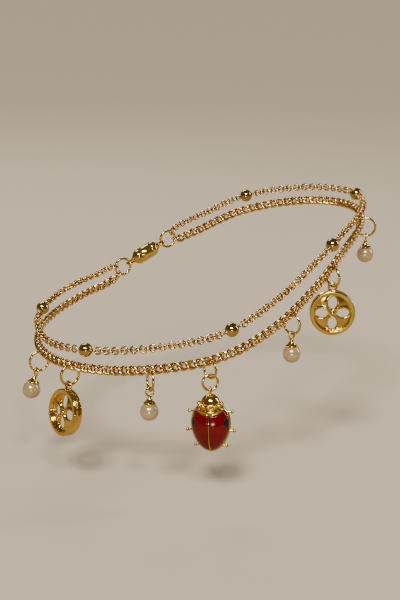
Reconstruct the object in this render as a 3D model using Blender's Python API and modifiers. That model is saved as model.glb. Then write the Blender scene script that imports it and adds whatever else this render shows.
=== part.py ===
# Charm anklet worn round an ankle: two gold strands on one clasp, with seven charms on the lower strand.
# Metres, +Z up. -X is the toes' side, +X the heel, -Y the side that carries the charms.
# The origin is the middle of the loop, where the ankle passes through.

import bisect
import math

import bmesh
import bpy
from mathutils import Matrix, Vector

MM = 0.001

# The ankle that the loop goes round
ANKLE_HALF_LENGTH = 43.5 * MM
ANKLE_HALF_WIDTH = 31.5 * MM
HEEL_NARROWING = 0.12
FLARE_AT_TOES = math.radians(13)

# Heights of both strands in mm, by turn in degrees: 0 at the toes, 90 on the charm side, 180 at the heel
STRAND_ROUTE = [
    {"turn": -80, "upper": -0.9, "lower": -4.1},
    {"turn": -72, "upper": -2.8, "lower": -6.4},
    {"turn": -50, "upper": -5.4, "lower": -9.8},
    {"turn": -25, "upper": -7.6, "lower": -11.9},
    {"turn": 0, "upper": -8.9, "lower": -12.6},
    {"turn": 25, "upper": -7.5, "lower": -11.9},
    {"turn": 50, "upper": -5.0, "lower": -10.2},
    {"turn": 72, "upper": -2.0, "lower": -7.6},
    {"turn": 90, "upper": 4.4, "lower": -2.2},
    {"turn": 108, "upper": 12.0, "lower": 5.6},
    {"turn": 126, "upper": 17.3, "lower": 12.6},
    {"turn": 152, "upper": 20.2, "lower": 16.4},
    {"turn": 180, "upper": 21.0, "lower": 17.4},
    {"turn": 208, "upper": 19.9, "lower": 16.2},
    {"turn": 234, "upper": 16.2, "lower": 12.2},
    {"turn": 252, "upper": 9.8, "lower": 6.0},
    {"turn": 260, "upper": 6.5, "lower": 3.3},
]

# Clearances
PIECE_GAP = 0.12 * MM
SEAT_GAP = 0.1 * MM
HANG_GAP = 0.12 * MM

# Lower strand: a tube of the curb links' outer size, with a real curb link at each charm
CURB_PITCH = 1.95 * MM
CURB_WIRE = 0.52 * MM
CURB_WIDTH = 2.3 * MM
CURB_TWIST = math.radians(48)
CURB_STEPS = 12
WIRE_SIDES = 6
CURB_TIP_WIDTH = 0.8 * MM
CURB_TAPER = 1.3 * MM

# Both strands: plain round links at the ends, and the spacing of the tubes' points
END_LINK_RADIUS = 1.05 * MM
END_LINK_WIRE = 0.5 * MM
TUBE_SPACING = 5.5 * MM

# Upper strand: a tube of its round links' outer size
FINE_WIDTH = 2.0 * MM
FINE_PIN_WIDTH = 0.7 * MM
FINE_TAPER = 1.0 * MM
SHOULDER = 0.15 * MM

# Station balls on the upper strand
BALL_DIAMETER = 3.3 * MM
BALL_COUNT = 6
BALL_FIRST_TURN = 22.5
BALL_FREE_ENDS = 52 * MM
BALL_STEPS = 10

# Jump rings: mean radius of the ring and diameter of its wire
DROP_RING_RADIUS = 2.35 * MM
DROP_RING_WIRE = 0.6 * MM
DISC_RING_RADIUS = 2.35 * MM
DISC_RING_WIRE = 0.66 * MM
BUG_UPPER_RING_RADIUS = 1.95 * MM
BUG_LOWER_RING_RADIUS = 1.8 * MM
BUG_RING_WIRE = 0.62 * MM
END_RING_RADIUS = 2.2 * MM
END_RING_WIRE = 0.66 * MM
RING_STEPS = 14
HOOK_SPREAD = math.radians(30)

# Pearl drops
PEARL_DIAMETER = 4.3 * MM
PEARL_BORE = 0.9 * MM
PEARL_BORE_DEPTH = 2.4 * MM
PEARL_STEPS = 12
CAP_RIM_ANGLE = math.radians(34)
CAP_HEIGHT = 1.6 * MM
CAP_WAIST = 0.62
CAP_NECK_WIDTH = 0.8 * MM
PEG_WIDTH = 0.6 * MM
PEG_LENGTH = 2.0 * MM
EYE_RADIUS = 0.95 * MM
EYE_WIRE = 0.46 * MM
EYE_STEPS = 12

# Pierced discs
DISC_DIAMETER = 11 * MM
DISC_RIM_WIDTH = 1.1 * MM
DISC_THICKNESS = 2.2 * MM
DISC_WEB_THICKNESS = 0.7 * MM
DISC_WEB_RISE = 0.45 * MM
DISC_WEB_BEND = 0.6
DISC_EDGE = 0.33 * MM
DISC_STEPS = 28
DISC_HOLE_LENGTH = 3.1 * MM
DISC_HOLE_WIDTH = 2.3 * MM
DISC_HOLE_RADIUS = 2.55 * MM
DISC_EYE_RADIUS = 0.95 * MM
DISC_EYE_WIRE = 0.62 * MM

# Ladybug
BUG_HALF_WIDTH = 4.3 * MM
BUG_HALF_HEIGHT = 5.6 * MM
BUG_DEPTH = 3.1 * MM
BUG_SHOULDERS = 0.14
BUG_ENAMEL = 0.6 * MM
BUG_RIM = 0.35 * MM
BUG_PLATE = 0.7 * MM
BUG_PLATE_FRONT = 0.06 * MM
BUG_RIB = 0.4 * MM
BUG_SHELL_BACK = 0.42 * MM
BUG_RIB_BACK = 0.28 * MM
BUG_HEAD_BACK = 0.57 * MM
BUG_COLLAR_BACK = 0.5 * MM
BUG_NECK_BACK = 0.35 * MM
BUG_HEAD_HALF_WIDTH = 2.35 * MM
BUG_HEAD_HALF_HEIGHT = 2.65 * MM
BUG_HEAD_DEPTH = 2.15 * MM
BUG_HEAD_TO_BODY = 5.0 * MM
BUG_COLLAR_RADIUS = 2.6 * MM
BUG_COLLAR_WIDTH = 1.2 * MM
BUG_COLLAR_HEIGHT = 1.75 * MM
BUG_COLLAR_DROP = 0.25 * MM
BUG_COLLAR_TILT = math.radians(12)
BUG_NECK_EASE = 1.1
BUG_NECK_LOW = 0.8 * MM
BUG_NECK_HIGH = 0.35 * MM
BUG_EYE_RADIUS = 0.8 * MM
BUG_EYE_WIRE = 0.5 * MM
BUG_LEG_WIRE = 0.5 * MM
BUG_LEG_BEAD = 0.85 * MM
BUG_LEG_REACH = 0.95 * MM
BUG_LEG_ROOT = 0.8
BUG_LEG_HEIGHTS = (3.5 * MM, -0.9 * MM, -4.4 * MM)
BUG_SPOT_WIDTH = 2.5 * MM
BUG_SPOT_LIFT = 1.2 * MM
BUG_SPOT_ANGLE = math.radians(74)
BUG_SPOT_PROUD = 0.12 * MM
BUG_OUTLINE_STEPS = 22

# Clasp
CLASP_HEIGHT = 1.1 * MM
CLASP_SLOPE = math.radians(27)
CLASP_LENGTH = 8.5 * MM
CLASP_WIDTH = 4.0 * MM
CLASP_END_WIDTH = 1.6 * MM
CLASP_TAPER = 2.0 * MM
CLASP_EYE_RADIUS = 0.95 * MM
CLASP_EYE_WIRE = 0.6 * MM
CLASP_STEPS = 14

# Charms in order from the toes. Angles in degrees: turn is the place on the lower strand, swing turns the
# ring about the vertical, lean tips the ring outward, hang tips the charm outward, and face is the charm's
# compass direction, 0 towards -Y and negative towards the toes.
CHARMS = [
    {"kind": "drop", "turn": -4, "swing": 0, "lean": 26, "hang": 16},
    {"kind": "disc", "turn": 15, "swing": -14, "lean": 12, "hang": 10, "face": -82},
    {"kind": "drop", "turn": 47.5, "swing": 20, "lean": 16, "hang": 9},
    {"kind": "bug", "turn": 67.5, "swing": 24, "lean": 10, "hang": 8, "face": -42},
    {"kind": "drop", "turn": 95, "swing": 8, "lean": 12, "hang": 4},
    {"kind": "disc", "turn": 116, "swing": -20, "lean": 12, "hang": 3, "face": -34},
    {"kind": "drop", "turn": 152, "swing": 0, "lean": 28, "hang": 2},
]
BUG_LOWER_RING_SWING = -93

UP = Vector((0, 0, 1))
PATH_STEPS = 1360
END_EASE = 14 * MM


def ankle_point(turn):
    angle = math.radians(turn)
    across = math.sin(angle) * (1 + HEEL_NARROWING * math.cos(angle))
    return Vector((-ANKLE_HALF_LENGTH * math.cos(angle), -ANKLE_HALF_WIDTH * across, 0))


def ankle_outward(turn):
    step = 0.5
    along = ankle_point(turn + step) - ankle_point(turn - step)
    return Vector((along.y, -along.x, 0)).normalized()


def flare_at(turn):
    return FLARE_AT_TOES * (1 + math.cos(math.radians(turn))) / 2


def route_height(strand, turn):
    # Smooth curve through the rows of the route
    rows = STRAND_ROUTE
    spot = max(i for i in range(len(rows) - 1) if rows[i]["turn"] <= turn or i == 0)

    def slope(index):
        before = rows[max(index - 1, 0)]
        after = rows[min(index + 1, len(rows) - 1)]
        return (after[strand] - before[strand]) / (after["turn"] - before["turn"])

    start, end = rows[spot], rows[spot + 1]
    span = end["turn"] - start["turn"]
    t = (turn - start["turn"]) / span
    height = (2 * t**3 - 3 * t**2 + 1) * start[strand] + (3 * t**2 - 2 * t**3) * end[strand]
    height += ((t**3 - 2 * t**2 + t) * slope(spot) + (t**3 - t**2) * slope(spot + 1)) * span
    return height * MM


def clasp_directions():
    # Middle of the clasp on the hidden side, along it towards the heel, out of the ankle, and up between them
    place = ankle_point(-90) + UP * CLASP_HEIGHT
    outward = ankle_outward(-90)
    axis = outward.cross(UP) * math.cos(CLASP_SLOPE) + UP * math.sin(CLASP_SLOPE)
    return place, axis, outward, axis.cross(outward)


def clasp_eye_place():
    return CLASP_LENGTH / 2 + CLASP_EYE_RADIUS - CLASP_EYE_WIRE / 4


def end_ring_place():
    hang = (END_RING_WIRE + CLASP_EYE_WIRE) / 2 + HANG_GAP
    return clasp_eye_place() + CLASP_EYE_RADIUS - hang + END_RING_RADIUS


def end_link_frame(way, rise):
    # A strand's round end link, crosswise on the wire of its end ring and lying in its own X and Y.
    # way is -1 at the toes' end and 1 at the heel's; rise is 1 for the upper strand and -1 for the lower.
    place, axis, outward, side = clasp_directions()
    away = axis * way * math.cos(HOOK_SPREAD) + side * rise * math.sin(HOOK_SPREAD)
    reach = END_RING_RADIUS + END_LINK_RADIUS - (END_RING_WIRE + END_LINK_WIRE) / 2 - HANG_GAP
    centre = place + axis * way * end_ring_place() + away * reach
    return frame_matrix(centre, away, outward, away.cross(outward))


def eased(share):
    # 1 at the start of a stretch, 0 past its end
    share = min(max(share, 0), 1)
    return (1 - share) ** 2 * (1 + 2 * share)


class Strand:
    """One strand's path from the tip of one end link to the tip of the other, measured along its length."""

    def __init__(self, name, rise):
        first, last = STRAND_ROUTE[0]["turn"], STRAND_ROUTE[-1]["turn"]
        self.turns = [first + (last - first) * i / PATH_STEPS for i in range(PATH_STEPS + 1)]
        self.points = [ankle_point(turn) + UP * route_height(name, turn) for turn in self.turns]
        self.measure()
        self.end_links = [end_link_frame(way, rise) for way in (-1, 1)]
        start_shift, end_shift = [
            frame @ Vector((END_LINK_RADIUS, 0, 0)) - self.points[end]
            for frame, end in zip(self.end_links, (0, -1))]
        for i, distance in enumerate(self.lengths):
            self.points[i] = self.points[i] + start_shift * eased(distance / END_EASE)
            self.points[i] += end_shift * eased((self.length - distance) / END_EASE)
        self.measure()

    def measure(self):
        self.lengths = [0.0]
        for before, after in zip(self.points, self.points[1:]):
            self.lengths.append(self.lengths[-1] + (after - before).length)
        self.length = self.lengths[-1]

    def spot_of(self, distance):
        # The step of the path that holds a distance, and the share of that step
        spot = min(max(bisect.bisect_right(self.lengths, distance) - 1, 0), PATH_STEPS - 1)
        return spot, (distance - self.lengths[spot]) / (self.lengths[spot + 1] - self.lengths[spot])

    def turn_at(self, distance):
        spot, share = self.spot_of(distance)
        return self.turns[spot] + share * (self.turns[spot + 1] - self.turns[spot])

    def point_at(self, distance):
        spot, share = self.spot_of(distance)
        return self.points[spot].lerp(self.points[spot + 1], share)

    def distance_at(self, turn):
        share = (turn - self.turns[0]) / (self.turns[-1] - self.turns[0]) * PATH_STEPS
        spot = min(int(share), PATH_STEPS - 1)
        return self.lengths[spot] + (share - spot) * (self.lengths[spot + 1] - self.lengths[spot])

    def frame_at(self, distance):
        # Place and directions: along the strand, out of the ankle, and up between them
        step = 0.6 * MM
        start, end = max(distance - step, 0), min(distance + step, self.length)
        along = (self.point_at(end) - self.point_at(start)).normalized()
        turn = self.turn_at(distance)
        flare = flare_at(turn)
        outward = ankle_outward(turn) * math.cos(flare) + UP * math.sin(flare)
        outward = (outward - along * outward.dot(along)).normalized()
        return self.point_at(distance), along, outward, outward.cross(along)


def frame_matrix(place, x_axis, y_axis, z_axis):
    turn = Matrix((x_axis, y_axis, z_axis)).transposed().to_4x4()
    return Matrix.Translation(place) @ turn


def collection(name):
    made = bpy.data.collections.new(name)
    bpy.context.scene.collection.children.link(made)
    return made


def metal_or_enamel(name, colour, metallic, roughness):
    material = bpy.data.materials.new(name)
    material.use_nodes = True
    shader = material.node_tree.nodes["Principled BSDF"]
    shader.inputs["Base Color"].default_value = (*colour, 1)
    shader.inputs["Metallic"].default_value = metallic
    shader.inputs["Roughness"].default_value = roughness
    return material


def put(obj, name, place, material=None):
    # Names a new object, moves it to its collection and place, and hides it if it only shapes another
    obj.name = name
    obj.data.name = name
    for holder in list(obj.users_collection):
        holder.objects.unlink(obj)
    if material is None:
        cutters.objects.link(obj)
        obj.hide_render = True
        obj.display_type = "WIRE"
    else:
        anklet.objects.link(obj)
        obj.data.materials.clear()
        obj.data.materials.append(material)
    obj.parent = ankle_centre
    obj.matrix_world = place
    return obj


def object_of(mesh):
    obj = bpy.data.objects.new("shape", mesh)
    bpy.context.scene.collection.objects.link(obj)
    return obj


def torus(radius, wire, steps, sides=WIRE_SIDES):
    bpy.ops.mesh.primitive_torus_add(
        major_radius=radius, minor_radius=wire / 2, major_segments=steps, minor_segments=sides)
    bpy.context.object.data.shade_smooth()
    return bpy.context.object


def turned(outline, steps, closed=False):
    # Turns a profile of (radius, height) points round Z; the outline runs down its outer side
    mesh = bpy.data.meshes.new("turned")
    edges = [(i, i + 1) for i in range(len(outline) - 1)]
    if closed:
        edges.append((len(outline) - 1, 0))
    mesh.from_pydata([(radius, 0, height) for radius, height in outline], edges, [])
    obj = object_of(mesh)
    screw = obj.modifiers.new("turn", "SCREW")
    screw.steps = steps
    screw.render_steps = steps
    screw.use_merge_vertices = True
    screw.merge_threshold = 1e-6
    screw.use_smooth_shade = True
    return obj


def arc(radius, start, end, steps):
    # Points of a sphere's outline from one angle off the axis to another
    angles = [start + (end - start) * i / steps for i in range(steps + 1)]
    return [(radius * math.sin(a), radius * math.cos(a)) for a in angles]


def ball(radii, steps=12, rings=8, centre=(0, 0, 0)):
    bm = bmesh.new()
    bmesh.ops.create_uvsphere(bm, u_segments=steps, v_segments=rings, radius=1)
    bmesh.ops.transform(bm, matrix=Matrix.Translation(centre) @ Matrix.Diagonal((*radii, 1)), verts=bm.verts)
    mesh = bpy.data.meshes.new("ball")
    bm.to_mesh(mesh)
    bm.free()
    mesh.shade_smooth()
    return object_of(mesh)


def trim_behind(obj, depth):
    # Cuts away what lies behind a plane across Y, and closes the cut
    bm = bmesh.new()
    bm.from_mesh(obj.data)
    everything = bm.verts[:] + bm.edges[:] + bm.faces[:]
    bmesh.ops.bisect_plane(bm, geom=everything, plane_co=(0, depth, 0), plane_no=(0, 1, 0), clear_outer=True)
    bmesh.ops.holes_fill(bm, edges=[edge for edge in bm.edges if edge.is_boundary])
    bm.to_mesh(obj.data)
    bm.free()
    return obj


def rod(start, end, width, sides=6):
    start, end = Vector(start), Vector(end)
    bm = bmesh.new()
    bmesh.ops.create_cone(
        bm, cap_ends=True, segments=sides, radius1=width / 2, radius2=width / 2, depth=(end - start).length)
    turn = (end - start).to_track_quat("Z", "Y").to_matrix().to_4x4()
    bmesh.ops.transform(bm, matrix=Matrix.Translation((start + end) / 2) @ turn, verts=bm.verts)
    mesh = bpy.data.meshes.new("rod")
    bm.to_mesh(mesh)
    bm.free()
    return object_of(mesh)


def block(low, high):
    low, high = Vector(low), Vector(high)
    bm = bmesh.new()
    bmesh.ops.create_cube(bm, size=1)
    size = Matrix.Diagonal((*(high - low), 1))
    bmesh.ops.transform(bm, matrix=Matrix.Translation((low + high) / 2) @ size, verts=bm.verts)
    mesh = bpy.data.meshes.new("block")
    bm.to_mesh(mesh)
    bm.free()
    return object_of(mesh)


def combine(obj, tool, operation):
    modifier = obj.modifiers.new(operation.lower(), "BOOLEAN")
    modifier.operation = operation
    modifier.solver = "EXACT"
    modifier.object = tool


def curb_half_length():
    return (CURB_PITCH + CURB_WIRE) / 2


def curb_link_mesh():
    # A ring of wire drawn out to an oval and twisted about its length
    half_length = curb_half_length()
    half_width = (CURB_WIDTH - CURB_WIRE) / 2
    link = torus(1, CURB_WIRE, CURB_STEPS)
    mesh = link.data

    def across(t):
        twist = CURB_TWIST * math.cos(t)
        return Vector((0, math.sin(twist), math.cos(twist)))

    def centreline(t):
        return Vector((half_length * math.cos(t), 0, 0)) + across(t) * half_width * math.sin(t)

    for vertex in mesh.vertices:
        t = math.atan2(vertex.co.y, vertex.co.x)
        offset = vertex.co.xy.length - 1
        tangent = (centreline(t + 0.01) - centreline(t - 0.01)).normalized()
        out = Vector((half_width * math.cos(t), 0, 0)) + across(t) * half_length * math.sin(t)
        out = (out - tangent * out.dot(tangent)).normalized()
        vertex.co = centreline(t) + out * offset + out.cross(tangent) * vertex.co.z
    bpy.data.objects.remove(link)
    return mesh


def curb_places(strand):
    # Middles of the curb links, evenly spread, with the first and last through the end links
    first = curb_half_length() - CURB_WIRE
    free = strand.length - 2 * first
    count = round(free / CURB_PITCH) + 1
    return [first + free * i / (count - 1) for i in range(count)]


def nearest_link(strand, links, turn):
    wanted = strand.distance_at(turn)
    return min(links, key=lambda distance: abs(distance - wanted))


def tube_mesh(name, strand, runs, width):
    # One POLY curve, a spline for each run of (distance, radius) stations, made a mesh with welded caps
    curve = bpy.data.curves.new(name, "CURVE")
    curve.dimensions = "3D"
    for run in runs:
        spline = curve.splines.new("POLY")
        spline.points.add(len(run) - 1)
        for point, (distance, radius) in zip(spline.points, run):
            point.co = (*strand.point_at(distance), 1)
            point.radius = radius / (width / 2)
    curve.bevel_depth = width / 2
    curve.bevel_resolution = 2
    curve.use_fill_caps = True
    guide = object_of(curve)
    mesh = bpy.data.meshes.new_from_object(guide.evaluated_get(bpy.context.evaluated_depsgraph_get()))
    bpy.data.objects.remove(guide)
    bm = bmesh.new()
    bm.from_mesh(mesh)
    bmesh.ops.remove_doubles(bm, verts=bm.verts, dist=1e-7)
    bm.to_mesh(mesh)
    bm.free()
    mesh.shade_smooth()
    return mesh


def even_run(start, end, width):
    steps = max(1, round((end - start) / TUBE_SPACING))
    return [(start + (end - start) * i / steps, width / 2) for i in range(steps + 1)]


def with_links(strand, chain, links):
    # Joins on the real links, given as (mesh, frame) pairs, and a round link for each end ring
    round_link = torus(END_LINK_RADIUS, END_LINK_WIRE, CURB_STEPS)
    bm = bmesh.new()
    for template, frame in links + [(round_link.data, frame) for frame in strand.end_links]:
        copy = template.copy()
        copy.transform(frame)
        bm.from_mesh(copy)
        bpy.data.meshes.remove(copy)
    bpy.data.objects.remove(round_link)
    mesh = bpy.data.meshes.new("links")
    bm.to_mesh(mesh)
    bm.free()
    mesh.shade_smooth()
    combine(chain, put(object_of(mesh), chain.name + "_links", Matrix()), "UNION")


def lower_chain(strand, links):
    places = [nearest_link(strand, links, charm["turn"]) for charm in CHARMS]
    tip = curb_half_length()
    starts = [0] + [distance + tip for distance in places]
    ends = [distance - tip for distance in places] + [strand.length]
    runs = []
    for start, end in zip(starts, ends):
        middle = even_run(start + CURB_TAPER, end - CURB_TAPER, CURB_WIDTH)
        runs.append([(start, CURB_TIP_WIDTH / 2)] + middle + [(end, CURB_TIP_WIDTH / 2)])
    chain = put(object_of(tube_mesh("lower_chain", strand, runs, CURB_WIDTH)), "lower_chain", Matrix(), gold)
    curb_link = curb_link_mesh()
    with_links(strand, chain, [(curb_link, frame_matrix(*strand.frame_at(distance))) for distance in places])


def ball_distances(strand):
    # Evenly spaced so that one ball is at its turn, with the rest of the strand left free at its two ends
    spacing = (strand.length - BALL_FREE_ENDS) / (BALL_COUNT - 1)
    first = strand.distance_at(BALL_FIRST_TURN)
    before = int(first // spacing)
    return [first + (i - before) * spacing for i in range(BALL_COUNT)]


def upper_chain(strand, balls):
    # The tube narrows to a pin through each drilled ball
    shoulder = BALL_DIAMETER / 2 + SHOULDER
    pin = FINE_PIN_WIDTH / 2
    run = [(0, pin)]
    starts = [FINE_TAPER] + [distance + shoulder for distance in balls]
    ends = [distance - shoulder for distance in balls] + [strand.length - FINE_TAPER]
    for i, (start, end) in enumerate(zip(starts, ends)):
        run += even_run(start, end, FINE_WIDTH)
        if i < len(balls):
            run += [(end + SHOULDER / 2, pin), (balls[i], pin), (starts[i + 1] - SHOULDER / 2, pin)]
    run.append((strand.length, pin))
    chain = put(object_of(tube_mesh("upper_chain", strand, [run], FINE_WIDTH)), "upper_chain", Matrix(), gold)
    with_links(strand, chain, [])


def station_balls(strand, balls):
    bore = FINE_PIN_WIDTH / 2 + PIECE_GAP
    edge = math.asin(bore / (BALL_DIAMETER / 2))
    outline = arc(BALL_DIAMETER / 2, edge, math.pi - edge, 6)
    for i, distance in enumerate(balls):
        place, along, outward, up = strand.frame_at(distance)
        put(turned(outline, BALL_STEPS, closed=True), f"station_ball_{i + 1}",
            frame_matrix(place, outward, up, along), gold)


def charm_directions(charm):
    # The ankle's outward direction there, and the way that the charm hangs
    outward = ankle_outward(charm["turn"])
    hang = math.radians(charm["hang"])
    down = outward * math.sin(hang) - UP * math.cos(hang)
    return outward, down


def swung(outward, down, swing):
    # A direction across the hang, turned about the vertical from straight out of the ankle
    turned_out = Matrix.Rotation(math.radians(swing), 3, "Z") @ outward
    return (turned_out - down * turned_out.dot(down)).normalized()


def jump_ring(name, centre, across, down, radius, wire):
    put(torus(radius, wire, RING_STEPS), name,
        frame_matrix(centre, across, -down, across.cross(-down)), gold)


def chain_ring(name, charm, link_place, radius, wire):
    # A jump ring through a curb link; returns the middle of its wire at the lowest point
    outward, down = charm_directions(charm)
    across = swung(outward, down, charm["swing"])
    lean = math.radians(charm["lean"])
    centre = link_place + (down * math.cos(lean) + across * math.sin(lean)) * radius
    jump_ring(name, centre, across, down, radius, wire)
    return centre + down * radius, across, down


def hanging_eye(wire_place, down, eye_radius, eye_wire, ring_wire):
    # Centre of an eye that hangs on a ring's wire
    return wire_place + down * (eye_radius - (eye_wire + ring_wire) / 2 - HANG_GAP)


def face_frame(place, facing, down):
    # Local -Y looks out of the charm's face and local Z is up
    facing = (facing - down * facing.dot(down)).normalized()
    return frame_matrix(place, facing.cross(down), -facing, -down)


def compass(angle):
    return Vector((math.sin(math.radians(angle)), -math.cos(math.radians(angle)), 0))


def pearl_drop(number, charm, link_place):
    wire_place, across, down = chain_ring(
        f"drop_ring_{number}", charm, link_place, DROP_RING_RADIUS, DROP_RING_WIRE)
    eye = hanging_eye(wire_place, down, EYE_RADIUS, EYE_WIRE, DROP_RING_WIRE)
    frame = face_frame(eye, across, down)
    radius = PEARL_DIAMETER / 2
    rim_radius = radius + SEAT_GAP
    cap_top = EYE_RADIUS + EYE_WIRE / 4
    pearl_down = cap_top + CAP_HEIGHT + rim_radius * math.cos(CAP_RIM_ANGLE)
    seat = Matrix.Translation((0, 0, -pearl_down))
    bore_angle = math.asin(PEARL_BORE / 2 / radius)
    bottom = radius - PEARL_BORE_DEPTH
    outline = [(0, bottom), (PEARL_BORE / 2, bottom)] + arc(radius, bore_angle, math.pi, 7)
    put(turned(outline, PEARL_STEPS), f"pearl_{number}", frame @ seat, pearl)

    peg_angle = math.asin(PEG_WIDTH / 2 / rim_radius)
    underside = arc(rim_radius, CAP_RIM_ANGLE, peg_angle, 3)
    rim_height = rim_radius * math.cos(CAP_RIM_ANGLE)
    top = rim_height + CAP_HEIGHT
    cap_rim = rim_radius * math.sin(CAP_RIM_ANGLE)
    outline = [(0, top), (CAP_NECK_WIDTH / 2, top), (cap_rim * CAP_WAIST, rim_height + CAP_HEIGHT / 2)]
    outline += [(cap_rim + PIECE_GAP, rim_height + PIECE_GAP)] + underside
    outline += [(PEG_WIDTH / 2, rim_radius - PEG_LENGTH), (0, rim_radius - PEG_LENGTH)]
    cap = put(turned(outline, PEARL_STEPS), f"drop_cap_{number}", frame @ seat, gold)
    loop = put(torus(EYE_RADIUS, EYE_WIRE, EYE_STEPS), f"drop_eye_{number}",
               frame @ Matrix.Rotation(math.pi / 2, 4, "X"))
    combine(cap, loop, "UNION")


def disc_outline():
    # Rim with rounded edges round a web that domes towards the face
    outer = DISC_DIAMETER / 2
    inner = outer - DISC_RIM_WIDTH
    half = DISC_THICKNESS / 2
    web = DISC_WEB_THICKNESS / 2
    return [
        (0, web + DISC_WEB_RISE),
        (inner * DISC_WEB_BEND, web + DISC_WEB_RISE * DISC_WEB_BEND),
        (inner, web),
        (inner + DISC_EDGE, half),
        (outer - DISC_EDGE, half),
        (outer, half - DISC_EDGE),
        (outer, DISC_EDGE - half),
        (outer - DISC_EDGE, -half),
        (inner + DISC_EDGE, -half),
        (inner, -web),
        (inner * DISC_WEB_BEND, DISC_WEB_RISE * DISC_WEB_BEND - web),
        (0, DISC_WEB_RISE - web),
    ]


def pierced_disc(number, charm, link_place):
    wire_place, across, down = chain_ring(
        f"disc_ring_{number}", charm, link_place, DISC_RING_RADIUS, DISC_RING_WIRE)
    eye = hanging_eye(wire_place, down, DISC_EYE_RADIUS, DISC_EYE_WIRE, DISC_RING_WIRE)
    frame = face_frame(eye, compass(charm["face"]), down)
    middle = DISC_DIAMETER / 2 + DISC_EYE_RADIUS - DISC_EYE_WIRE / 4
    to_face = Matrix.Translation((0, 0, -middle)) @ Matrix.Rotation(math.pi / 2, 4, "X")
    disc = put(turned(disc_outline(), DISC_STEPS), f"disc_charm_{number}", frame @ to_face, gold)
    for quarter in range(4):
        hole = rod((0, 0, -DISC_THICKNESS), (0, 0, DISC_THICKNESS), 2, sides=12)
        size = Matrix.Diagonal((DISC_HOLE_LENGTH / 2, DISC_HOLE_WIDTH / 2, 1, 1))
        turn = Matrix.Rotation(quarter * math.pi / 2, 4, "Z")
        hole.data.transform(turn @ Matrix.Translation((DISC_HOLE_RADIUS, 0, 0)) @ size)
        put(hole, f"disc_hole_{number}_{quarter + 1}", frame @ to_face)
        combine(disc, hole, "DIFFERENCE")
    loop = put(torus(DISC_EYE_RADIUS, DISC_EYE_WIRE, EYE_STEPS), f"disc_eye_{number}",
               frame @ Matrix.Rotation(math.pi / 2, 4, "X"))
    combine(disc, loop, "UNION")


def ladybug(charm, link_place):
    wire_place, across, down = chain_ring(
        "bug_upper_ring", charm, link_place, BUG_UPPER_RING_RADIUS, BUG_RING_WIRE)
    centre = wire_place + down * (BUG_LOWER_RING_RADIUS - BUG_RING_WIRE - HANG_GAP)
    outward, down = charm_directions(charm)
    across = swung(outward, down, BUG_LOWER_RING_SWING)
    jump_ring("bug_lower_ring", centre, across, down, BUG_LOWER_RING_RADIUS, BUG_RING_WIRE)
    wire_place = centre + down * BUG_LOWER_RING_RADIUS
    eye = hanging_eye(wire_place, down, BUG_EYE_RADIUS, BUG_EYE_WIRE, BUG_RING_WIRE)
    frame = face_frame(eye, compass(charm["face"]), down)
    head_down = BUG_EYE_RADIUS + BUG_HEAD_HALF_HEIGHT - BUG_EYE_WIRE / 4
    bug_body(frame, head_down)
    for side, name in ((-1, "left"), (1, "right")):
        bug_wing(frame @ Matrix.Translation((0, 0, -head_down - BUG_HEAD_TO_BODY)), side, name)


def bug_widening(height):
    # The wing cases are broader at the shoulders than at the tail
    return 1 + BUG_SHOULDERS * height / BUG_HALF_HEIGHT


def egg_shaped(obj):
    for vertex in obj.data.vertices:
        vertex.co.x *= bug_widening(vertex.co.z)
    return obj


def bug_shell(grow, steps=14, rings=10):
    # The wing cases' domed form, grown or shrunk by a wall
    return egg_shaped(ball((BUG_HALF_WIDTH + grow, BUG_DEPTH + grow, BUG_HALF_HEIGHT + grow), steps, rings))


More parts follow.
